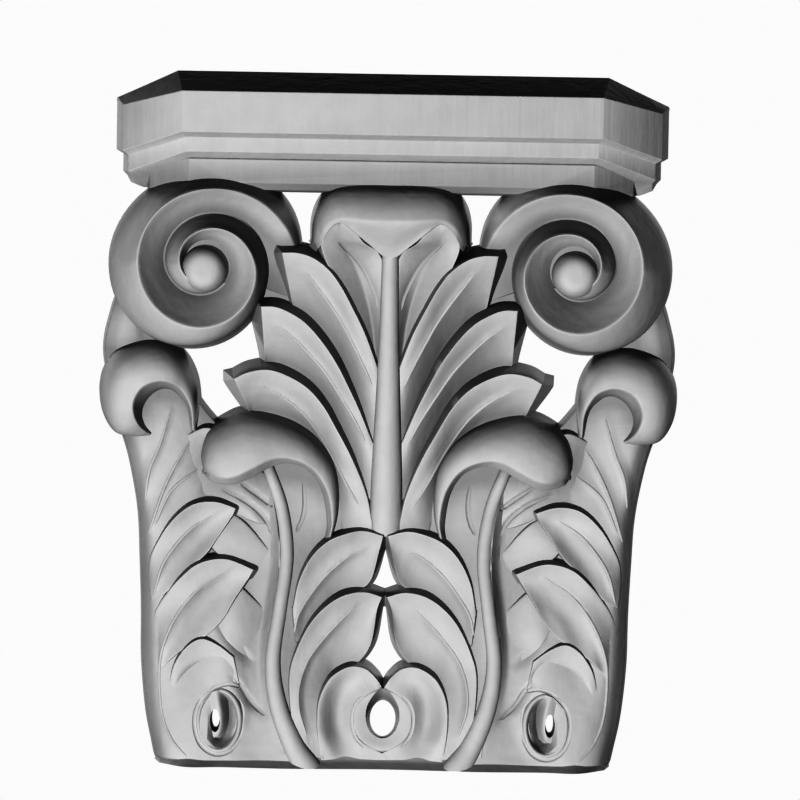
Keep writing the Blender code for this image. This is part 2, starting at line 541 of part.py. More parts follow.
def build():
    clear_scene()
    scene = bpy.context.scene.collection
    union = bpy.data.collections.new("forms")
    cuts = bpy.data.collections.new("cuts")
    scene.children.link(union)
    scene.children.link(cuts)

    depths = (RUN_BACK + 0.03 * i for i in range(100))
    for name, (sections, stations, *factors) in FORMS.items():
        add_pair(name, strip_solid(name, stations, sections, next(depths), *factors), union)
    add_pair("stem", strip_solid("stem", rod_stations(STEM), [ROUND], next(depths)), union)
    add_guide("midrib", strip_solid("midrib", rod_stations(MIDRIB), [ROUND], next(depths)), union)
    field = strip_solid("base field", mirrored_stations(BASE_FIELD), [FACE, FACE], next(depths))
    add_guide("base field", field, union)
    add_pair("volute", volute_solid("volute", next(depths)), union)
    add_pair("volute eye", round_solid("volute eye", *VOLUTE_EYE, next(depths)), union)
    add_pair("side collar", round_solid("side collar", *SIDE_COLLAR, next(depths)), union)
    add_guide("centre collar", round_solid("centre collar", *CENTRE_COLLAR, next(depths)), union)
    roll = mirrored_stations(TIP_ROLL)
    roll = strip_solid("tip roll", roll, [NOSE, SWEEP], next(depths), (0.5, 0.2, 1.0, 1.0))
    add_guide("tip roll", roll, union)
    add_guide("lowest moulding", moulding_solid("lowest moulding", LOWEST_MOULDING, next(depths)), union)

    far = 400.0 * MM
    back_y = DEPTH / 2 * MM
    add_guide("behind", box_mesh("behind", (-far, back_y, -far), (far, back_y + far, far)), cuts)
    add_guide("below", box_mesh("below", (-far, -far, -far), (far, far, 0.0)), cuts)
    add_guide("centre eye", hole_mesh("centre eye", *CENTRE_EYE), cuts)
    add_pair("side eye", hole_mesh("side eye", *SIDE_EYE), cuts)

    capital = bpy.data.objects.new("capital", moulding_solid("abacus", ABACUS_SLAB, next(depths)))
    scene.objects.link(capital)
    capital.data.materials.append(plaster_material())
    for name, operation, collection in (("join forms", "UNION", union), ("trim", "DIFFERENCE", cuts)):
        modifier = capital.modifiers.new(name, "BOOLEAN")
        modifier.operand_type = "COLLECTION"
        modifier.collection = collection
        modifier.operation = operation
        modifier.solver = "MANIFOLD"


build()
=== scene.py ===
"""Carved pilaster capital in relief: the finished surface of one cast plaster piece.

The file is laid out as an add-on and is run as a script. Positions in the
scene are metres. The carving plans are written in millimetres: a plan point is
(x, z, h) with x to the right of the centre line, z above the base strip, and h
how far the surface stands in front of the flat back. The plans give the left
half, and every form is mirrored to the right.
"""
import json
import math

import bmesh
import bpy
import numpy as np
from bpy.props import FloatProperty, FloatVectorProperty, PointerProperty
from mathutils import Matrix, Vector

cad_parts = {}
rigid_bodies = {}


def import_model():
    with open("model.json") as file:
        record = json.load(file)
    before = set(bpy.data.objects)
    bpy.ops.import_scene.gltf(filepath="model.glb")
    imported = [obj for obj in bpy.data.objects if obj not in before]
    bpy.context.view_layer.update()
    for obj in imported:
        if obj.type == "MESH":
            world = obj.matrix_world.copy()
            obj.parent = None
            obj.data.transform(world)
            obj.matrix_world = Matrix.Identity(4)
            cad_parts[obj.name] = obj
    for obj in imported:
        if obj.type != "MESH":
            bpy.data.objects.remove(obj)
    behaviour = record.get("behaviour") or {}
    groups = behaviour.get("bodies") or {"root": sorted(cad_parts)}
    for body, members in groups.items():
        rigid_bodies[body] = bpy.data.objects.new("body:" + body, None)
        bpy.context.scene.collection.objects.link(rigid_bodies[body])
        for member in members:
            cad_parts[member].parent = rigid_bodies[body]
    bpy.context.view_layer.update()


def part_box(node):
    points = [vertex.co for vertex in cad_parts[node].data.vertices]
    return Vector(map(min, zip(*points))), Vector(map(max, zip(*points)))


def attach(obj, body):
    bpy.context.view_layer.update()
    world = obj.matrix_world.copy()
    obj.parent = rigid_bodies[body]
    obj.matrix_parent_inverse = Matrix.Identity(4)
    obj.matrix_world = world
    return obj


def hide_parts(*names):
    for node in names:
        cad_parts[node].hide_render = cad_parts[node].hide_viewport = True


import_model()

bl_info = {
    "name": "Carved Capital",
    "version": (1, 0, 0),
    "blender": (4, 5, 0),
    "location": "3D View > Sidebar > Capital",
    "description": "Models and finishes a carved pilaster capital",
    "category": "Add Mesh",
}

MM = 0.001
LOW_CORNER, HIGH_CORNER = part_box("capital")
BACK_PLANE = HIGH_CORNER.y
TRIANGLE_LIMIT = 195000


# ------------------------------------------------------------------ settings
def length_setting(name, description, default):
    return FloatProperty(
        name=name, description=description, default=default, min=0.0, subtype="DISTANCE", unit="LENGTH")


def angle_setting(name, description, degrees):
    return FloatProperty(name=name, description=description, default=math.radians(degrees), subtype="ANGLE")


def grey_setting(name, description, grey):
    return FloatVectorProperty(
        name=name, description=description, default=(grey, grey, grey), size=3, subtype="COLOR")


class CarvingSettings(bpy.types.PropertyGroup):
    base_strip: FloatProperty(
        name="Base strip", description="Plain strip under the carving, in mm", default=2.5, min=0.0)
    run_back: FloatProperty(
        name="Run back", description="How far every form runs behind the back plane, in mm",
        default=3.0, min=1.0)
    draft: FloatProperty(
        name="Draft", description="How much the walls lean out for each unit of their height",
        default=0.21, min=0.0)
    arris: FloatProperty(
        name="Arris", description="Width of the rounding along every rim, in mm", default=0.9, min=0.1)
    row_step: FloatProperty(
        name="Row step", description="Distance between two rows of a form's mesh, in mm",
        default=1.5, min=0.5)
    groove_radius: length_setting("Groove radius", "Radius of the gouge that cuts the veins", 0.0013)
    rib_radius: length_setting("Rib radius", "Radius of the raised ribs on the lobes", 0.0008)
    groove_lift: length_setting(
        "Groove lift", "How far the gouge's axis stays in front of the surface", 0.0004)


class PlasterSettings(bpy.types.PropertyGroup):
    colour: grey_setting("Colour", "Colour of the plaster", 0.29)
    # Painted highlight: the rims are painted lighter in this colour.
    rim_highlight_colour: grey_setting("Rim highlight colour", "Colour of the painted highlight on the rims", 0.38)
    # Painted shade: the concave hollows and creases are painted darker in this colour.
    hollow_shade_colour: grey_setting("Hollow shade colour", "Colour of the painted shade in the hollows", 0.21)
    # Painted shade: the recesses deep between the leaves are painted dark in this colour.
    recess_shade_colour: grey_setting("Recess shade colour", "Colour of the painted shade deep between the leaves", 0.13)
    roughness: FloatProperty(
        name="Roughness", description="Roughness of the plaster", default=0.85, min=0.0, max=1.0)


class StudioSettings(bpy.types.PropertyGroup):
    floor_colour: grey_setting("Floor colour", "Colour of the floor and the backdrop", 0.985)
    key_power: FloatProperty(
        name="Key power", description="Power of the large soft light in front",
        default=700.0, min=0.0, unit="POWER")
    camera_distance: length_setting("Camera distance", "Distance from the camera to the capital", 2.778)
    camera_tilt: angle_setting("Camera tilt", "How far the camera looks down", 4.0)
    camera_roll: angle_setting("Camera roll", "How far the camera is turned about its axis", 1.0)
    focal_length: FloatProperty(
        name="Focal length", description="Focal length of the camera in mm", default=250.0, min=20.0)


# ------------------------------------------------------------------ drawing
FOOT_REACH, FOOT_DROP = 200.0, 1.3


def carving():
    return bpy.context.scene.capital_carving


def placed(x, z, h):
    """A plan point as a position in metres; the plans are drawn a touch high near the foot."""
    low = max(0.0, 1.0 - z / FOOT_REACH)
    return Vector((x * MM, BACK_PLANE - h * MM, (z + carving().base_strip - FOOT_DROP * low * low) * MM))


def curve_value(values, position):
    """Catmull-Rom curve through values at 0, 1, 2 ... read at position."""
    last = len(values) - 1
    start = min(max(int(position), 0), last - 1)
    t = position - start
    p1, p2 = values[start], values[start + 1]
    p0 = values[start - 1] if start > 0 else 2 * p1 - p2
    p3 = values[start + 2] if start + 2 <= last else 2 * p2 - p1
    return 0.5 * (2 * p1 + (p2 - p0) * t + (2 * p0 - 5 * p1 + 4 * p2 - p3) * t ** 2
                  + (3 * p1 - p0 - 3 * p2 + p3) * t ** 3)


def station_at(stations, position):
    """All of a station's numbers, read part of the way between two stations."""
    return [curve_value([station[i] for station in stations], position) for i in range(len(stations[0]))]


def smooth_line(points, steps=10):
    """A smooth curve through the points, as tuples."""
    return [tuple(station_at(points, k / steps)) for k in range((len(points) - 1) * steps + 1)]


# A section is how the height goes from one edge to the next, and the power by
# which the points crowd towards the first edge.
def even(s):
    return s


def scooped(s):
    """Gentle at the rim, steepest half way and easing off towards the far edge."""
    return (0.6 * s + 1.5 * s ** 2 - 0.967 * s ** 3) / 1.133


def rounded(s):
    """A full quarter round that starts upright and ends level."""
    return max(0.0, 1.0 - (1.0 - s) ** 2.5) ** 0.4


def shouldered(s):
    """Between a quarter round and a straight slope."""
    return 0.55 * rounded(s) + 0.45 * s


def nosed(s):
    """Nearly a quarter round."""
    return 0.8 * rounded(s) + 0.2 * s


def swept(s):
    """A soft S from one edge to the next."""
    return 0.4 * s + 0.6 * s * s * (3.0 - 2.0 * s)


def dished(s):
    """A slope that eases off a little at its foot."""
    return 1.12 * s - 0.12 * s * s


SCOOP = (scooped, 1.0)
SWEEP = (swept, 1.0)
QUARTER = (rounded, 1.8)
NOSE = (nosed, 1.4)
SHOULDER = (shouldered, 1.3)
FACE = (even, 1.0)
DISH = (dished, 1.0)
SMOOTH = "one smooth curve through every edge"
CORNER_STEPS = 4
TICKS_PER_STATION = 12


def corner(before, at, after):
    """The points inside a rounded corner."""
    steps = [i / CORNER_STEPS for i in range(1, CORNER_STEPS)]
    return [before * (1 - t) ** 2 + at * (2 * t * (1 - t)) + after * t ** 2 for t in steps]


def across_row(values, sections, counts, arris):
    """One row of plan points across a form, with its edges rounded."""
    edges = [Vector(values[i:i + 3]) for i in range(0, len(values) - 2, 3)]
    if sections is SMOOTH:
        return smooth_row(edges, sum(counts), arris)
    bulge = values[-1] if len(values) % 3 else 0.0
    runs = []
    for gap, (ease, power) in enumerate(sections):
        first, second, count = edges[gap], edges[gap + 1], counts[gap]
        width = (second - first).xy.length
        inset = min(arris / max(width, 0.01), 0.2)
        run = []
        for k in range(count + 1):
            s = inset + (1 - 2 * inset) * (k / count) ** power
            x, z = first.xy.lerp(second.xy, s)
            lift = bulge * math.sin(math.pi * s) if gap == 0 else 0.0
            run.append(Vector((x, z, first[2] + (second[2] - first[2]) * ease(s) + lift)))
        runs.append(run)
    drop = Vector((0.0, 0.0, arris))
    row = [edges[0] - drop] + corner(edges[0] - drop, edges[0], runs[0][0])
    for gap, run in enumerate(runs):
        row += run
        if gap + 1 < len(runs):
            row += corner(run[-1], edges[gap + 1], runs[gap + 1][0])
    return row + corner(runs[-1][-1], edges[-1], edges[-1] - drop) + [edges[-1] - drop]


def smooth_row(edges, count, arris):
    """One row of plan points on a smooth curve through the edges."""
    row = [Vector(station_at(edges, (len(edges) - 1) * k / count)) for k in range(count + 1)]
    drop = Vector((0.0, 0.0, arris))
    first, last = row[0] - drop, row[-1] - drop
    return [first] + corner(first, row[0], row[1]) + row[1:-1] + corner(row[-2], row[-1], last) + [last]


def even_positions(stations, step):
    """Positions along the stations about one step apart, and how long the form is."""
    gaps = len(stations) - 1
    ticks = np.linspace(0.0, gaps, gaps * TICKS_PER_STATION + 1)
    rows = np.array([station_at(stations, tick) for tick in ticks])
    edges = rows.shape[1] // 3
    moved = np.diff(rows, axis=0)
    lengths = [np.hypot(moved[:, 3 * i], moved[:, 3 * i + 1]) for i in range(edges)]
    travel = np.concatenate(([0.0], np.cumsum(np.max(lengths, axis=0))))
    count = max(2, round(travel[-1] / step))
    return list(np.interp(np.linspace(0.0, travel[-1], count + 1), travel, ticks)), travel, ticks


def across_counts(stations, gaps, step):
    """How many steps each gap between two edges takes."""
    counts = []
    for gap in range(gaps):
        a, b = 3 * gap, 3 * gap + 3
        widest = max(math.hypot(row[b] - row[a], row[b + 1] - row[a + 1]) for row in stations)
        counts.append(max(3, math.ceil(widest / step)))
    return counts


def grid_rows(stations, sections, round_ends=(False, True)):
    """Rows of plan points over a whole form, with the wanted ends rounded."""
    arris, step = carving().arris, carving().row_step
    positions, travel, ticks = even_positions(stations, step)
    counts = across_counts(stations, len(stations[0]) // 3 - 1, step)
    rows = [across_row(station_at(stations, p), sections, counts, arris) for p in positions]
    drop = Vector((0.0, 0.0, arris))
    for end, wanted in enumerate(round_ends):
        if not wanted:
            continue
        where = arris if end == 0 else travel[-1] - arris
        position = float(np.interp(where, travel, ticks))
        inner = across_row(station_at(stations, position), sections, counts, arris)
        outer = rows[-end]
        foot = [point - drop for point in outer]
        between = zip(*[corner(a, b, c) for a, b, c in zip(inner, outer, foot)])
        extra = [inner] + [list(row) for row in between] + [foot]
        if end == 0:
            rows = extra[::-1] + rows[1:]
        else:
            rows = rows[:-1] + extra
    return rows


def touched(rows, strokes):
    """The rows raised or sunk by strokes.

    A stroke is (reach on its left, reach on its right, line), and each point
    of the line is (x, z, lift). The lift fades out over the reach, from a
    soft top if both reaches are the same and from a sharp crest if not.
    """
    plan = np.array([(point.x, point.y) for row in rows for point in row])
    lift = np.zeros(len(plan))
    for left, right, line in strokes:
        path = np.array(smooth_line(line, 5))
        start, run = path[:-1, :2], np.diff(path[:, :2], axis=0)
        offset = plan[:, None, :] - start[None]
        along = np.einsum("pij,ij->pi", offset, run) / np.maximum(np.sum(run ** 2, axis=1), 1e-9)
        t = np.clip(along, 0.0, 1.0)
        apart = offset - t[..., None] * run
        distance = np.linalg.norm(apart, axis=2)
        nearest = np.argmin(distance, axis=1)
        pick = (np.arange(len(plan)), nearest)
        turn = run[nearest, 0] * apart[pick][:, 1] - run[nearest, 1] * apart[pick][:, 0]
        u = np.clip(distance[pick] / np.where(turn > 0.0, left, right), 0.0, 1.0)
        amount = path[nearest, 2] + (path[nearest + 1, 2] - path[nearest, 2]) * t[pick]
        power = 2.0 if left == right else 1.2
        lift += amount * (1.0 - u ** power) ** 2
    lifts = iter(lift)
    return [[Vector((point.x, point.y, point.z + next(lifts))) for point in row] for row in rows]


# ------------------------------------------------------------------ solids
def loop_area(loop):
    return 0.5 * sum(a[0] * b[1] - b[0] * a[1] for a, b in zip(loop, loop[1:] + loop[:1]))


def outward(loop, i):
    """The outward direction in plan at point i of a counterclockwise loop."""
    before, here, after = loop[i - 1], loop[i], loop[(i + 1) % len(loop)]
    total = Vector((0.0, 0.0))
    for a, b in ((before, here), (here, after)):
        edge = Vector((b[0] - a[0], b[1] - a[1]))
        if edge.length > 1e-4:
            total += Vector((edge.y, -edge.x)).normalized()
    return total.normalized() if total.length > 1e-6 else Vector((0.0, 0.0))


def plain_mesh(mesh):
    """A bmesh as a mesh, with its normals outwards."""
    bmesh.ops.recalc_face_normals(mesh, faces=mesh.faces[:])
    data = bpy.data.meshes.new("form")
    mesh.to_mesh(data)
    mesh.free()
    return data


def triangle_mesh(mesh):
    bmesh.ops.triangulate(mesh, faces=mesh.faces[:])
    return plain_mesh(mesh)


def column_solid(points, faces, boundary, drafts):
    """A closed solid: a carved front, walls with draft, and a flat back.

    boundary holds the front's border points in order, and drafts the lean of
    the wall under each of them.
    """
    loop = [points[i] for i in boundary]
    if loop_area(loop) < 0:
        boundary, loop, drafts = boundary[::-1], loop[::-1], drafts[::-1]
    depth = next_depth()
    lean = {}
    for i, (point, draft) in enumerate(zip(loop, drafts)):
        lean[boundary[i]] = outward(loop, i) * draft * (point[2] + depth)
    mesh = bmesh.new()
    front, back = [], []
    for i, (x, z, h) in enumerate(points):
        front.append(mesh.verts.new(placed(x, z, h)))
        step = lean.get(i, Vector((0.0, 0.0)))
        back.append(mesh.verts.new(placed(x + step.x, z + step.y, -depth)))
    for face in faces:
        mesh.faces.new([front[i] for i in face])
        mesh.faces.new([back[i] for i in reversed(face)])
    for i in range(len(boundary)):
        a, b = boundary[i], boundary[(i + 1) % len(boundary)]
        mesh.faces.new((front[a], front[b], back[b], back[a]))
    return triangle_mesh(mesh)


def strip_solid(rows, drafts):
    """A column solid from rows of points; drafts are for the first edge, the last edge, and both ends."""
    across = len(rows[0])
    points = [tuple(point) for row in rows for point in row]
    faces = []
    for j in range(len(rows) - 1):
        for i in range(across - 1):
            a = j * across + i
            faces.append((a, a + 1, a + across + 1, a + across))
    last = (len(rows) - 1) * across
    sides = [
        (list(range(across)), drafts[2]),
        ([j * across + across - 1 for j in range(1, len(rows))], drafts[1]),
        ([last + i for i in range(across - 2, -1, -1)], drafts[3]),
        ([j * across for j in range(len(rows) - 2, 0, -1)], drafts[0]),
    ]
    boundary, leans = [], []
    for side, draft in sides:
        boundary += side
        leans += [draft] * len(side)
    return column_solid(points, faces, boundary, leans)


def mirrored_mesh(data):
    copy = data.copy()
    for vert in copy.vertices:
        vert.co.x = -vert.co.x
    copy.flip_normals()
    return copy


# ------------------------------------------------------------------ collections
def collection(name):
    found = bpy.data.collections.get(name)
    if found is None:
        found = bpy.data.collections.new(name)
        bpy.context.scene.collection.children.link(found)
        found.hide_render = True
    return found


BACK_GAP = 0.02


def next_depth():
    """Every form ends on a back plane of its own, so that no two backs coincide."""
    return carving().run_back + BACK_GAP * len(collection("forms").objects)


def add_form(name, data, group="forms"):
    collection(group).objects.link(bpy.data.objects.new(name, data))


def add_pair(name, data, group="forms"):
    add_form(name + " left", data, group)
    add_form(name + " right", mirrored_mesh(data), group)


def add_object(name, data):
    thing = bpy.data.objects.new(name, data)
    bpy.context.scene.collection.objects.link(thing)
    return thing


def evaluated_mesh(thing):
    """What the object's modifiers make of it, as a plain mesh; the modifiers are removed."""
    bpy.context.view_layer.update()
    graph = bpy.context.evaluated_depsgraph_get()
    data = bpy.data.meshes.new_from_object(thing.evaluated_get(graph))
    thing.modifiers.clear()
    return data


def combined(thing, *steps):
    """The object's mesh after joining or cutting away groups of forms."""
    for operation, group in steps:
        modifier = thing.modifiers.new(operation.lower(), "BOOLEAN")
        modifier.operand_type = "COLLECTION"
        modifier.collection = collection(group)
        modifier.operation = operation
        modifier.solver = "MANIFOLD"
    return evaluated_mesh(thing)


def thinned(thing):
    """The object's mesh with its flattest triangles merged, so that it stays under the triangle limit."""
    modifier = thing.modifiers.new("thin", "DECIMATE")
    thing.data.calc_loop_triangles()
    modifier.ratio = min(1.0, TRIANGLE_LIMIT / len(thing.data.loop_triangles))
    return evaluated_mesh(thing)


def add_strips(*names):
    for name in names:
        sections, stations, *drafts = FORMS[name]
        leans = [carving().draft * factor for factor in (drafts[0] if drafts else (1.0,) * 4)]
        veins = [vein_stroke(kind, points) for form, kind, points in VEINS if form == name]
        rows = touched(grid_rows(stations, sections), STROKES.get(name, []) + veins)
        add_pair(name, strip_solid(rows, leans))


def vein_stroke(kind, points):
    """The stroke that raises or sinks the ground along a vein, weak at both ends."""
    left, right, lift, _ = KINDS[kind]
    last = len(points) - 1
    return left, right, [(x, z, lift * min(1.0, 0.3 + k, 0.4 + 0.6 * (last - k)))
                         for k, (x, z) in enumerate(points)]


def mirrored_stations(stations):
    """Add the right half to a form that crosses the centre line."""
    return stations + [tuple(-value if i % 3 == 0 else value for i, value in enumerate(station))
                       for station in stations[-2::-1]]


# ------------------------------------------------------------------ plans
def level(z, *pairs):
    """A station that stays at one z: x and h at every edge."""
    return tuple(value for x, h in zip(pairs[::2], pairs[1::2]) for value in (x, z, h))


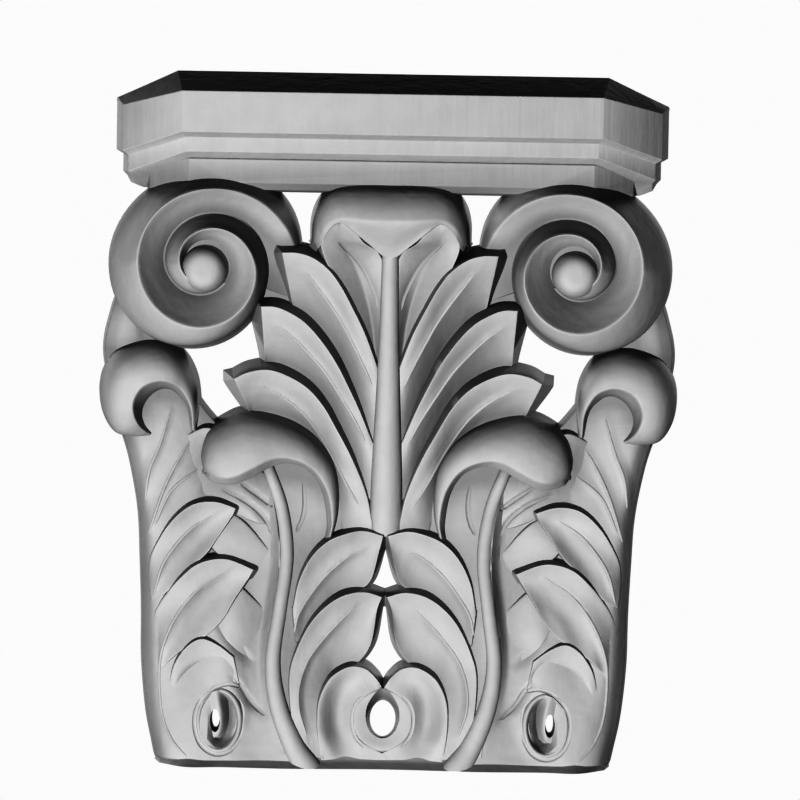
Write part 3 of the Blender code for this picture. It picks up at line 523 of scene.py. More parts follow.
# A form is its sections, its stations and its drafts. Each station is (x, z, h)
# at every edge, from the root to the tip, and a last single number is the bulge
# between the edges, negative where it is hollow. The drafts, where a form has
# them, scale the lean of its first and last edge, its root and its tip.
FORMS = {
    "bell": (SMOOTH, [
        level(1.5, -114, 8, -107, 19, -94, 24, -78, 23, -66, 23, -42, 24),
        level(8, -115.5, 7.5, -108, 19, -94, 24, -78, 22.5, -66, 21, -46, 23.5),
        level(25, -119, 7, -110.5, 18, -96, 23, -74, 22, -64, 18, -52, 21),
        level(50, -121.5, 6.5, -113, 17, -98, 19, -80, 23, -68, 18, -57, 15),
        level(75, -122, 6, -114, 16, -98, 17, -80, 18, -66, 13, -55, 15),
        level(100, -123, 6, -115, 15.5, -100, 16, -84, 11.5, -68, 11.5, -52, 14),
        level(125, -124.5, 6, -117, 15, -102, 15, -86, 13.5, -70, 13, -54, 14),
        level(150, -129, 7, -121, 15, -108, 15, -93, 12, -78, 10, -62, 12),
        level(167, -134, 8, -126, 15, -114, 15, -104, 13, -94, 11, -84, 10),
        level(185, -139, 8, -131, 14, -121, 14, -113, 13, -106, 12, -99, 10),
        level(206, -142.5, 8, -135, 13, -127, 14, -121, 13, -116, 12, -112, 10),
        level(225, -139, 8, -133, 12, -128, 13, -124.5, 12, -121, 12, -118, 10),
        level(246, -132, 8, -127, 11, -121, 12, -116, 11, -112, 11, -108, 10)]),
    "middle field": ([FACE], [
        (-50, 5, 24, -12, 5, 16, -2), (-54, 40, 22.5, -12, 40, 10, -3), (-53, 75, 21, -12, 75, 8, -3),
        (-50, 108, 15, -6, 104, 9, -2), (-58, 130, 12, -8, 125, 10, 0), (-64, 152, 11, -14, 146, 10, 0)]),
    "upper field": ([FACE], [
        (-60, 215, 8, -20, 215, 8, 0), (-65, 226, 8, -20, 226, 8, 0), (-66, 237, 8, -20, 240, 8, 0),
        (-60, 248, 8, -20, 250, 8, 0), (-54, 255, 8, -20, 257, 8, 0)]),
    "first lobe": ([SCOOP], [
        (-7, 122, 17, -7, 110, 15, 0), (-10, 136, 19, -20, 114, 12, 0),
        (-17, 153, 24, -25, 130, 9, 0), (-25, 168, 28, -29, 145, 7, 0),
        (-32, 180, 31, -36, 157, 7, 0), (-40, 189, 33, -45, 165, 7, 0),
        (-50, 195, 34, -54, 169, 8, 0), (-60, 198, 35, -62, 171, 9, 0),
        (-70, 196.5, 35, -66.5, 172.5, 12, 0), (-77, 193, 34, -68.5, 174, 16, 0)],
        (0.55, 1.0, 1.0, 1.0)),
    "second lobe": ([SCOOP], [
        (-6.5, 160, 20, -6, 130, 16, 0), (-9, 166, 22, -11, 136, 13, 0),
        (-14, 178, 26, -18, 152, 9, 0), (-20, 190.5, 30, -26, 167, 7, 0),
        (-26, 202, 33, -34, 179, 6, 0), (-34, 213.5, 35, -42, 187, 6, 0),
        (-42, 222, 36, -51, 194, 7, 0), (-50, 227, 36, -57, 197, 9, 0),
        (-57, 229.5, 36, -60.5, 199, 12, 0), (-64, 229.5, 35, -62, 201, 15, 0)],
        (0.55, 1.0, 1.0, 1.0)),
    "third lobe": ([SCOOP], [
        (-5, 198, 25, -5, 158, 19, 0), (-7, 204, 27, -9, 163, 16, 0),
        (-12, 217, 31, -15, 176, 11, 0), (-18, 229, 34, -21, 189, 8, 0),
        (-24, 240, 36, -28, 202, 7, 0), (-30, 248, 37, -36, 212, 7, 0),
        (-38, 254, 37, -43, 220, 8, 0), (-46, 256.5, 37, -47, 226, 11, 0),
        (-54, 256.5, 36, -49, 230, 14, 0)],
        (0.55, 1.0, 1.0, 1.0)),
    "fourth lobe": ([FACE, SWEEP], [
        (-9, 208, 21, -7, 206, 18, -2, 196, 26), (-17, 222, 24, -9, 222, 17, -2, 214, 27),
        (-26, 240, 27, -13, 238, 17.5, -2, 234, 28), (-32, 252, 31, -18, 250, 21, -3, 249, 29.5),
        (-34.5, 261, 35, -23, 259, 27, -6, 257, 32), (-31, 269, 40, -25, 264, 33, -14, 263, 36),
        (-27, 274, 43, -25.5, 270, 39, -19, 273, 40), (-25, 279, 42, -23, 277, 40, -16, 278, 40)],
        (0.5, 1.0, 1.0, 1.0)),
    "curled leaf": ([QUARTER, FACE], [
        (-27, 112, 10, -28.5, 112, 18, -30.5, 112, 13), (-24, 125, 10, -27, 122, 21, -29.5, 120, 14),
        (-24, 140, 10, -29, 135, 25, -31.5, 134, 16), (-27, 152, 9, -34, 145, 30, -36, 143.5, 20),
        (-35, 163, 8, -40.5, 151, 35, -42, 148.8, 25), (-46, 170.5, 7, -49, 154, 38, -49.5, 151, 29),
        (-59, 175, 6, -57, 153.8, 40, -57, 149.5, 31), (-72, 176.5, 6, -66, 149.5, 42, -65.5, 145, 33),
        (-82, 172.5, 6, -74, 145.5, 42, -74, 141, 33), (-90, 166, 6, -81, 144, 40, -81.5, 140.3, 32),
        (-93.5, 155, 6, -87, 145, 35, -88.5, 142, 28), (-92.5, 147, 6, -90, 145.5, 28, -91, 144, 22)],
        (1.0, 0.3, 1.0, 1.0)),
    "side lobe high": ([FACE], [
        (-119, 92, 12, -117, 80, 14, 0), (-117.5, 103, 16, -110, 84, 19, -1),
        (-112, 114, 20, -102, 92, 20, -3), (-106, 122, 23, -95, 99, 20, -5),
        (-99, 128, 24, -89, 105, 20, -6), (-92, 130.5, 24, -85, 111, 20, -5),
        (-84, 130.5, 24, -81, 117, 20, -3), (-75, 127.5, 22, -76.5, 124, 21, 0)],
        (0.8, 0.55, 1.0, 1.0)),
    "side lobe low": ([FACE], [
        (-117, 62, 12, -112, 45, 16, 0), (-115, 75, 16, -106, 52, 22, -1),
        (-108, 86, 21, -98, 58, 22, -2), (-102, 93, 25, -91, 62, 22, -4),
        (-95, 99, 26, -85, 67, 22, -5), (-87, 102, 26, -80, 73, 22, -5.5),
        (-78, 102, 25, -75, 82, 22, -4), (-65.5, 97, 23, -68.5, 92, 21, 0)],
        (0.8, 0.55, 1.0, 1.0)),
    "bottom curl": ([FACE], [
        (-108, 30, 17, -94, 16, 21, 1), (-107, 42, 20, -94, 26, 21, 0),
        (-104, 51, 23.5, -92, 34, 22, -2), (-98, 59, 26, -88, 39, 22, -3),
        (-91, 62.5, 27, -81, 40, 22, -3), (-83, 59.5, 26, -76, 41, 22, -2),
        (-75, 53.5, 24, -72, 39, 22, 0)],
        (0.6, 1.0, 1.0, 0.3)),
    "back lobe low": ([FACE], [
        (-62, 46, 12, -56, 70, 12, 0), (-69.5, 51, 16, -61, 77, 13, 1),
        (-76, 57.5, 19.5, -66, 82, 14.5, 1.5), (-81, 64, 20, -70.5, 86.2, 15.5, 1.5),
        (-85.5, 72, 16.5, -76, 90, 14, 1), (-90, 82, 11, -84, 97, 9, 0)],
        (1.2, 0.8, 1.0, 1.0)),
    "back lobe high": ([FACE], [
        (-64, 93, 11, -55, 103, 12, 0), (-74, 99, 14, -60.5, 108.5, 13, 1),
        (-82, 102.5, 16, -66, 115, 14, 1.5), (-87, 107, 16.5, -72.5, 121.3, 15, 1.5),
        (-91, 113, 13.5, -80, 125.5, 13, 1), (-96, 121, 10, -89, 129, 9, 0)],
        (1.2, 0.8, 1.0, 1.0)),
    "back leaf": ([FACE], [
        (-101, 163, 12.5, -97, 131, 11.5, 0), (-88, 167, 19.5, -85, 128, 12, 1),
        (-70, 152, 16, -66, 120, 14, 2),
        (-56, 140, 14, -53, 118, 14, 0)]),
    "first paw": ([FACE], [
        (-46, 78, 20, -44, 60, 19, 0), (-43, 92, 23, -38, 66, 15, -1),
        (-37, 104, 25, -30, 76, 12, -2), (-29, 112, 26, -22, 82, 10, -3),
        (-20, 116, 26, -14, 86, 12, -5), (-11, 117.5, 24, -7, 92, 16, -4), (-1, 115, 22, -2.5, 109, 20, 0)],
        (0.5, 0.8, 1.0, 1.0)),
    "second paw": ([FACE], [
        (-42, 6, 24, -29, 3, 22, 0), (-46, 25, 24, -29, 16, 21.5, -0.5),
        (-47, 45, 24, -29, 27, 19, -1.5), (-43.5, 58, 24.5, -29, 35, 16, -2),
        (-37, 71, 26, -26, 42, 12, -2), (-29, 80, 27, -22, 45, 11, -3),
        (-20, 85.5, 27, -14, 49, 13, -5), (-10, 87, 25, -6.5, 60, 17, -4),
        (-1, 84.5, 23, -3.5, 79, 20, 0)],
        (0.5, 0.8, 1.0, 1.0)),
    "third paw": ([FACE], [
        (-30.5, 1.5, 21.5, 3, 1.5, 19, -1), (-31.5, 8, 23.2, 2, 5, 20, -1),
        (-32.5, 16, 26, -9, 11, 21, -1), (-32.8, 24, 26.5, -13.5, 16.5, 22, -1),
        (-32.2, 32, 26.5, -14.5, 22, 22.5, -1), (-29.5, 39.5, 26.5, -13.8, 28.5, 22.5, -1),
        (-25, 45.5, 26.5, -10.5, 33, 22.5, -1), (-17, 49.8, 26, -6.5, 36, 22.5, -1),
        (-9.5, 49, 25, -3.5, 37.5, 22, -0.5), (-4, 44.5, 23.5, -1.5, 38, 21.5, 0),
        (-0.8, 39.8, 22, -0.5, 38.3, 20.5, 0)],
        (0.35, 0.3, 1.0, 0.3)),
    "side tongue": ([SWEEP, SWEEP], [
        (-89.5, 34, 22, -84, 36.5, 25, -77.5, 38, 22), (-90.3, 29.5, 20.5, -82.5, 32, 25, -77, 32.5, 14),
        (-90.2, 24, 20, -81.3, 26, 24.5, -76, 26, 12), (-89.4, 19, 19.5, -81, 20, 23.5, -76.3, 19.5, 12),
        (-87.5, 14.3, 19, -82, 15, 21, -78, 14.7, 14), (-85.5, 12, 19, -83.5, 12.3, 19, -81.5, 12, 18)]),
    "ball scroll": ([QUARTER, FACE], [
        (-95.5, 166, 8, -97.5, 166, 20, -98.5, 165, 14), (-94.5, 180, 6, -98.5, 178, 31, -101, 178, 16),
        (-97, 195, 5, -103, 187, 37, -106, 184, 16), (-105, 206.5, 5, -108, 190.5, 41, -109.5, 186, 16),
        (-120, 211, 5, -113.5, 191.5, 42, -113.5, 186, 16), (-136, 206, 5, -119, 190, 42, -117.5, 184, 16),
        (-143, 196, 5, -123, 187, 41, -120.5, 181, 16), (-145, 185, 5, -126, 181, 39, -122.5, 177, 15),
        (-143, 173, 6, -126, 175, 36, -123, 173, 15), (-137, 164, 8, -124, 169.5, 31, -122, 169, 15),
        (-128, 162, 10, -121, 165.5, 24, -120, 166, 15),
        (-119.5, 162.5, 13, -118.5, 163.5, 17, -118, 164, 15)],
        (0.6, 0.3, 1.0, 1.0)),
}

# Forms that cross the centre line, left half
BASE_FIELD = [
    (-111.8, -2.5, 16, -112.2, 2.1, 11, -112.6, 6, 7), (-98, -2.5, 32, -98, 2.1, 23, -98, 7, 17),
    (-80, -2.5, 30, -80, 2.1, 21.5, -80, 7, 15), (-50, -2.5, 32, -50, 2.1, 23, -50, 7, 17),
    (-28, -2.5, 30, -28, 2.1, 21.5, -28, 12, 12), (0, -2.5, 28, 0, 2.1, 19.5, 0, 12, 12)]
TIP_ROLL = [
    (-39.5, 262, 12, -37.5, 261, 28, -36.5, 258, 27), (-39, 272, 14, -35.5, 266, 35, -34.7, 260, 33),
    (-36.5, 280, 17, -32, 270.5, 42, -31, 267.5, 40.5), (-31, 286.5, 20, -26, 274, 47, -25, 272, 46),
    (-23, 289.5, 22, -18, 274, 50, -18, 267.5, 45.5), (-12, 290.5, 23, -10, 273.5, 51.5, -11, 261.5, 41),
    (0, 290.5, 23, 0, 273.5, 52, 0, 254, 36)]

# Radii and heights of the volute's spiral every 45 degrees, counterclockwise from the right
VOLUTE_CENTRE = (-92.0, 250.0)
VOLUTE_STEP = 3.75
VOLUTE_START, VOLUTE_END = -22.5, 675.0
CREST_RADII = (46, 41.5, 37.5, 35, 33, 32, 31, 28.5, 25.5, 21.5, 17.7, 14.5, 11.7, 10.0, 8.5, 7.0)
VALLEY_RADII = (47, 49.5, 45, 46, 49, 48, 40.5, 34, 30, 27.5, 24.5, 22, 20, 17.3, 15,
                13.2, 12.5, 12.3, 12, 11, 9.5, 7.5, 6, 5)
CREST_HEIGHTS = (10, 31, 44, 45, 46, 47, 48, 48.5, 48.5, 47.5, 47, 48, 48.5, 47, 43, 38)
VALLEY_HEIGHTS = (4, 12, 15, 12, 7, 10, 26, 20, 12, 18, 25, 27, 28, 28, 28, 30,
                  32, 33, 34, 35, 36, 38, 40, 41)
VOLUTE_FLOOR = 36.0
VOLUTE_EYE = ((VOLUTE_CENTRE[0], VOLUTE_CENTRE[1] - 2.0), 11.5, VOLUTE_FLOOR, 50.5)

# Rods: (x, z, h, half width) along the axis
STEM = [
    (-33, -9, 22, 7.4), (-37.5, -1, 22, 6.8), (-44.5, 10, 22, 5.6), (-52.5, 30, 23.5, 4.6),
    (-55.5, 52, 23.5, 3.9),
    (-52.3, 78, 22, 3.5), (-49.5, 104, 18.5, 3.6), (-52.5, 128, 16.5, 3.4), (-59.5, 148, 17, 3.0)]
MIDRIB = [
    (0, 116, 10.5, 8.4), (0, 128, 13, 8.2), (0, 150, 18, 7.6), (0, 182, 23.3, 6.2), (0, 215, 28, 5.0),
    (0, 262, 33, 4.0)]

# Strokes that model the ground of a form: (reach on the left, reach on the
# right, line of (x, z, lift)), left and right as seen along the line.
STROKES = {
    "bell": [
        (7, 7, [(-81, 14, -10), (-80, 22, -12), (-80, 30, -10)]),
        (5.5, 2.0, [(-49, 8, 0), (-54.5, 26, 2), (-58.5, 50, 7), (-55.5, 78, 8), (-52.8, 104, 8),
                    (-55.8, 128, 5), (-61, 146, 1)]),
        (10, 10, [(-64, 134, -1), (-66, 124, -2), (-62, 112, -1)]),
        (4, 4, [(-93, 130, 0), (-90, 136, -1.5), (-87, 142, 0)]),
        (6, 3, [(-64, 49, 0), (-69, 53.5, -2), (-75, 60.5, -2.5), (-80, 67, -2.5), (-84, 75, -2)]),
    ],
    "bottom curl": [
        (6.5, 6.5, [(-99, 22, 0), (-99.5, 34, -3.5), (-96.5, 42, -4.2), (-89, 46, -4.2), (-80, 45, -2)]),
    ],
    "side lobe low": [(7, 7, [(-103, 52, 0), (-98, 66, -1.5), (-91, 78, -1.5), (-80, 88, 0)])],
    "side lobe high": [(6, 6, [(-107, 88, 0), (-101, 100, -1.3), (-93, 110, -1.3), (-84, 118, 0)])],
    "third paw": [
        (9, 9, [(-15, 1, 0), (-17, 6, -2), (-19.5, 11, -4), (-22, 18, -5.5), (-22.5, 28, -5.5),
                (-20.5, 35.5, -4.5), (-16, 41, -2.5), (-10, 43.5, -1)]),
    ],
}

# Veins: where they are, their kind, and their plan line from the root to the tip.
# A vein named after a form also raises or sinks the form's ground around it.
# A kind is (reach on the left, reach on the right, lift, whether it is a raised rib).
KINDS = {
    "rib": (6.0, 3.5, 1.5, True),
    "ledge": (8.0, 3.6, 2.2, True),
    "crease": (5.0, 3.2, 1.5, True),
    "fold": (4.5, 2.2, -2.2, False),
    "line": (3.0, 3.0, -0.6, False),
}
VEINS = [
    ("first lobe", "rib", [(-14, 130), (-20, 140), (-28, 155), (-35, 166), (-42, 175), (-52, 183.5),
                           (-63, 189.5)]),
    ("second lobe", "rib", [(-11, 162), (-16, 172), (-24, 185), (-32, 197), (-40, 206), (-48, 214),
                            (-56, 220)]),
    ("third lobe", "rib", [(-8, 190), (-12, 199), (-18, 211), (-24, 222), (-30, 231), (-36, 239),
                           (-42, 247)]),
    ("fourth lobe", "line", [(-6, 228), (-8, 236), (-15, 250), (-26, 262)]),
    ("side lobe high", "ledge", [(-116, 82), (-112, 97), (-106, 107), (-98, 116), (-87, 123.5)]),
    ("side lobe low", "ledge", [(-98, 3), (-106, 12), (-111, 25), (-112.5, 45), (-110, 60), (-103, 75),
                                (-93, 87), (-80, 95.5)]),
    ("first paw", "ledge", [(-45, 65), (-43, 75), (-37, 85), (-30, 94), (-20, 103), (-12, 107)]),
    ("second paw", "ledge", [(-38, 15), (-42, 28), (-42, 40), (-38, 52), (-31, 62), (-23, 71), (-16, 78)]),
    ("curled leaf inner", "line", [(-45, 115), (-42, 122), (-41, 130), (-42, 141)]),
    ("bell", "crease", [(-121, 130), (-119, 145), (-114, 158), (-109, 175)]),
    ("bell", "crease", [(-119, 113), (-112, 135), (-105, 150), (-99, 160)]),
    ("bell", "crease", [(-116, 118), (-108, 135), (-95, 146)]),
    ("back leaf", "fold", [(-57, 128), (-65, 134), (-74, 140)]),
    ("back leaf", "fold", [(-57.5, 114), (-61, 122), (-70, 130), (-83, 136)]),
    ("bell", "fold", [(-59, 23.5), (-66, 30), (-71, 38), (-75, 43)]),
    ("centre collar", "line", [(-9, 35), (-13, 31.5), (-15.3, 26), (-15.3, 19), (-13, 13), (-8.5, 8.5)]),
    ("side collar", "line", [(-71.5, 38), (-78, 39.5), (-85.5, 37), (-92, 30), (-94.3, 21.5), (-92.5, 12),
                             (-88, 6.5), (-82, 4.5), (-75.5, 7), (-71, 14), (-69.7, 22), (-70.5, 29),
                             (-73, 33.5)]),
]

# Abacus: each ring is (x, z) at the end's back, then (x, h, z) at the end corner and at the front corner
ABACUS_SLAB = [
    ((138.5, 333.8), (138, 4, 333.8), (108, 5, 347.8)),
    ((138.5, 331.8), (135, 12.5, 330.4), (104.5, 36, 338.4)),
    ((138.5, 308.0), (135, 12.5, 307.4), (104.5, 36, 318.0)),
    ((135.0, 306.0), (132, 10.5, 305.4), (102.5, 30.5, 315.3)),
    ((135.0, 297.0), (132, 10.5, 297.2), (102.5, 30.5, 308.2)),
    ((133.0, 295.0), (130.5, 8.5, 295.6), (101, 26, 305.6)),
    ((131.5, 291.5), (131, 0, 291.5), (124, 1, 289.0)),
]
LOWEST_MOULDING = [
    ((121.5, 303.0), (119, 9, 303.0), (100, 22, 306.5)),
    ((123.5, 301.0), (121, 11, 301.0), (101, 26, 304.5)),
    ((123.5, 289.5), (121, 11, 289.5), (101, 26, 292.9)),
    ((121.5, 287.5), (119, 7.5, 287.0), (98.5, 20, 289.3)),
]

# Pierced eyes: centre, half width and half height at the back and at the front
CENTRE_EYE = ((0.0, 20.5), (6.2, 8.6), (0.0, 27.0), (9.6, 12.6), 3.5)
SIDE_EYE = ((-84.3, 20.5), (1.9, 5.0), (-84.0, 21.5), (2.6, 6.2), 0.0)
# Collars round the eyes: centre, its height, and rings of (half width, half height, h)
CENTRE_COLLAR = ((0.0, 22.5), (19.5, (6, 8, 19.5), (9, 11, 20), (12, 13, 20.5), (14.6, 14.8, 20.5),
                               (16, 16, 19)))
SIDE_COLLAR = ((-82.0, 21.5), (11.0, (4, 6, 12), (6.5, 10.5, 14), (8.0, 12.4, 19), (9.6, 14.2, 23.5),
                               (11.2, 15.8, 23.5), (12.5, 17, 20.5)))


# ------------------------------------------------------------------ round forms
# A volute's section has VOLUTE_COUNTS steps on its two slopes. A hole starts HOLE_START behind the
# backs of the forms.
EIGHTH_TURN = 45.0
VOLUTE_SINK, VOLUTE_COUNTS = 6.0, (11, 10)
VOLUTE_DRAFT, ROUND_DRAFT = 0.12, 0.05
HOLE_LEVELS, HOLE_SIDES, HOLE_START, HOLE_LENGTH = 6, 64, 2.0, 34.0
MOULDING_BEVEL = 0.25


def spiral_point(radii, heights, angle):
    """A point of the spiral; before its start it keeps its radius and sinks."""
    position = max(angle / EIGHTH_TURN, 0.0)
    radius = curve_value(radii, position)
    height = curve_value(heights, position) + VOLUTE_SINK * min(angle / EIGHTH_TURN, 0.0)
    turn = math.radians(angle)
    x, z = VOLUTE_CENTRE
    return Vector((x + radius * math.cos(turn), z + radius * math.sin(turn), height))


def volute_solid():
    """A spiral ribbon whose turns share their valley lines, with a straight wall where it faces up."""
    arris = carving().arris
    spokes = int(round((VOLUTE_END - VOLUTE_START) / VOLUTE_STEP))
    per_turn = int(round(360.0 / VOLUTE_STEP))
    angles = [VOLUTE_START + j * VOLUTE_STEP for j in range(spokes + per_turn + 1)]
    valleys = [spiral_point(VALLEY_RADII, VALLEY_HEIGHTS, angle) for angle in angles]
    middles = []
    for j in range(spokes + 1):
        crest = spiral_point(CREST_RADII, CREST_HEIGHTS, angles[j])
        edges = [*valleys[j], *crest, *valleys[j + per_turn]]
        full = across_row(edges, [SHOULDER, DISH], VOLUTE_COUNTS, arris)
        straight = across_row(edges, [(even, SHOULDER[1]), DISH], VOLUTE_COUNTS, arris)
        upright = max(0.0, math.sin(math.radians(angles[j]))) ** 0.7
        row = [a.lerp(b, upright) for a, b in zip(full, straight)]
        middles.append(row[CORNER_STEPS:-CORNER_STEPS])
    for j in range(per_turn, spokes + 1):
        valleys[j] = middles[j - per_turn][-1] * 0.25 + valleys[j] * 0.5 + middles[j][0] * 0.25
    points = [tuple(valley) for valley in valleys]
    rows = []
    for j, middle in enumerate(middles):
        start = len(points)
        points += [tuple(point) for point in middle]
        rows.append([j] + list(range(start, len(points))) + [j + per_turn])
    faces = []
    for j in range(spokes):
        for i in range(len(rows[0]) - 1):
            faces.append((rows[j][i], rows[j][i + 1], rows[j + 1][i + 1], rows[j + 1][i]))
    points.append((*VOLUTE_CENTRE, VOLUTE_FLOOR))
    centre = len(points) - 1
    inside = list(range(spokes, spokes + per_turn + 1)) + rows[spokes][-2:0:-1]
    for i in range(len(inside)):
        faces.append((inside[i], inside[(i + 1) % len(inside)], centre))
    boundary = list(range(per_turn + 1)) + rows[0][-2:0:-1]
    return column_solid(points, faces, boundary, [VOLUTE_DRAFT] * len(boundary))


def directions(count):
    """The cosine and sine of directions evenly spaced round a turn."""
    turns = [math.tau * i / count for i in range(count)]
    return [(math.cos(turn), math.sin(turn)) for turn in turns]


def round_solid(centre, rings, around=72):
    """A solid of elliptical rings about a centre point; rings starts with the centre's height."""
    points = [(*centre, rings[0])]
    for half_width, half_height, h in rings[1:]:
        points += [(centre[0] + half_width * right, centre[1] + half_height * up, h)
                   for right, up in directions(around)]
    faces = [(0, 1 + i, 1 + (i + 1) % around) for i in range(around)]
    for start in range(1, len(points) - around, around):
        for i in range(around):
            a, b = start + i, start + (i + 1) % around
            faces.append((a, a + around, b + around, b))
    boundary = list(range(len(points) - around, len(points)))
    return column_solid(points, faces, boundary, [ROUND_DRAFT] * around)


def smooth_rings(rings):
    """More rings on a smooth curve through the given ones."""
    return (rings[0], *smooth_line([(0.0, 0.0, rings[0]), *rings[1:]], 5)[1:])


def dome_rings(radius, low, high, steps=12):
    rings = [high]
    for k in range(1, steps + 1):
        s = math.sin(0.5 * math.pi * k / steps)
        rings.append((radius * s, radius * s, low + (high - low) * (1 - s ** 4) ** 0.5))
    return tuple(rings)


def hole_mesh(back_centre, back_size, front_centre, front_size, peak):
    """A tapered elliptical plug that pierces the relief, wider in front and drawn up to a peak there."""
    mesh = bmesh.new()
    rings = []
    for step in range(HOLE_LEVELS + 1):
        grow = (step / HOLE_LEVELS) ** 1.3
        h = -carving().run_back - HOLE_START + HOLE_LENGTH * step / HOLE_LEVELS
        x, z, width, height = [back + (front - back) * grow for back, front in zip(
            (*back_centre, *back_size), (*front_centre, *front_size))]
        rings.append([
            mesh.verts.new(placed(x + width * right, z + (height * up + peak * grow * max(0.0, up) ** 8), h))
            for right, up in directions(HOLE_SIDES)])
    for lower, upper in zip(rings, rings[1:]):
        for i in range(len(lower)):
            mesh.faces.new((lower[i - 1], lower[i], upper[i], upper[i - 1]))
    mesh.faces.new(rings[0])
    mesh.faces.new(rings[-1])
    return triangle_mesh(mesh)


def box_mesh(low, high):
    mesh = bmesh.new()
    bmesh.ops.create_cube(mesh, size=1.0)
    for vert in mesh.verts:
        vert.co = Vector([(lo + hi) / 2 + c * (hi - lo) for lo, hi, c in zip(low, high, vert.co)])
    return triangle_mesh(mesh)


def moulding_solid(profile):
    """A moulded slab with canted ends, lofted through its arris lines."""
    base_strip, depth = carving().base_strip, next_depth()
    mesh = bmesh.new()
    rings = []
    for (xb, zb), (xe, he, ze), (xf, hf, zf) in profile:
        behind = depth * (xb - xe) / max(he, 1.0)
        line = [(-xb - behind, zb, -depth), (-xe, ze, he), (-xf, zf, hf)]
        line += [(-x, z, h) for x, z, h in reversed(line)]
        rings.append([mesh.verts.new(placed(x, z - base_strip, h)) for x, z, h in line])
    for upper, lower in zip(rings, rings[1:]):
        for i in range(len(upper) - 1):
            mesh.faces.new((upper[i], upper[i + 1], lower[i + 1], lower[i]))
    seat_x, seat_z = profile[0][2][0], profile[0][2][2]
    left, right = [mesh.verts.new(placed(x, seat_z - base_strip, -depth)) for x in (-seat_x, seat_x)]
    top = rings[0]
    mesh.faces.new((top[0], top[1], top[2], left))
    mesh.faces.new((left, top[2], top[3], right))
    mesh.faces.new((right, top[3], top[4], top[5]))
    mesh.faces.new(rings[-1])
    mesh.faces.new([ring[0] for ring in reversed(rings)] + [left, right] + [ring[5] for ring in rings])
    bmesh.ops.recalc_face_normals(mesh, faces=mesh.faces[:])
    front = [edge for edge in mesh.edges if all(vert.co.y < BACK_PLANE for vert in edge.verts)]
    bmesh.ops.bevel(mesh, geom=front, offset=MOULDING_BEVEL * MM, offset_type="OFFSET", segments=1,
                    profile=0.5, affect="EDGES", clamp_overlap=True)
    return triangle_mesh(mesh)


# ------------------------------------------------------------------ node trees
class TreeBuilder:
    """Adds nodes to a tree: a node's type, its settings, and the values or links of its sockets."""

    def __init__(self, tree):
        self.tree = tree

    def add(self, kind, settings=None, inputs=None):
        node = self.tree.nodes.new(kind)
        for key, value in (settings or {}).items():
            setattr(node, key, value)
        for key, value in (inputs or {}).items():
            socket = node.inputs[key]
            if isinstance(value, bpy.types.NodeSocket):
                self.tree.links.new(value, socket)
            else:
                socket.default_value = value
        return node


def geometry_tree(name, sockets):
    """A Geometry Nodes tree with geometry in and out, and an input of each name and kind."""
    tree = bpy.data.node_groups.new(name, "GeometryNodeTree")
    tree.interface.new_socket("Geometry", in_out="INPUT", socket_type="NodeSocketGeometry")
    tree.interface.new_socket("Geometry", in_out="OUTPUT", socket_type="NodeSocketGeometry")
    for label, kind in sockets.items():
        tree.interface.new_socket(label, in_out="INPUT", socket_type="NodeSocket" + kind)
    builder = TreeBuilder(tree)
    source = builder.add("NodeGroupInput")
    sink = builder.add("NodeGroupOutput")
    return tree, builder, source.outputs, sink.inputs


def resampled_path(builder, source):
    """The input edges as a curve with points one Step apart."""
    curve = builder.add("GeometryNodeMeshToCurve", inputs={"Mesh": source["Geometry"]})
    fine = builder.add("GeometryNodeResampleCurve", {"mode": "LENGTH"}, {
        "Curve": curve.outputs["Curve"], "Length": source["Step"]})
    return fine.outputs["Curve"]


def finish_rod(builder, curve, scale, source, sink):
    """Sweeps a circle along the curve, and ends the tree with real geometry in its material."""
    profile = builder.add("GeometryNodeCurvePrimitiveCircle", inputs={
        "Resolution": source["Sides"], "Radius": 1.0})
    rod = builder.add("GeometryNodeCurveToMesh", inputs={
        "Curve": curve, "Profile Curve": profile.outputs["Curve"], "Scale": scale, "Fill Caps": True})
    real = builder.add("GeometryNodeRealizeInstances", inputs={"Geometry": rod.outputs["Mesh"]})
    coated = builder.add("GeometryNodeSetMaterial", inputs={
        "Geometry": real.outputs["Geometry"], "Material": source["Material"]})
    builder.tree.links.new(coated.outputs["Geometry"], sink["Geometry"])


def rod_tree():
    """A round rod along a path, as wide as the path's half_width attribute says."""
    tree, builder, source, sink = geometry_tree("Carved rod", {
        "Step": "Float", "Sides": "Int", "Material": "Material"})
    width = builder.add("GeometryNodeInputNamedAttribute", {"data_type": "FLOAT"}, {"Name": "half_width"})
    finish_rod(builder, resampled_path(builder, source), width.outputs["Attribute"], source, sink)
    return tree


# How wide a rib or a groove is along its length, where 1 is its full width
TAPER = ((0.0, 0.25), (0.22, 1.0), (0.7, 0.95), (1.0, 0.25))


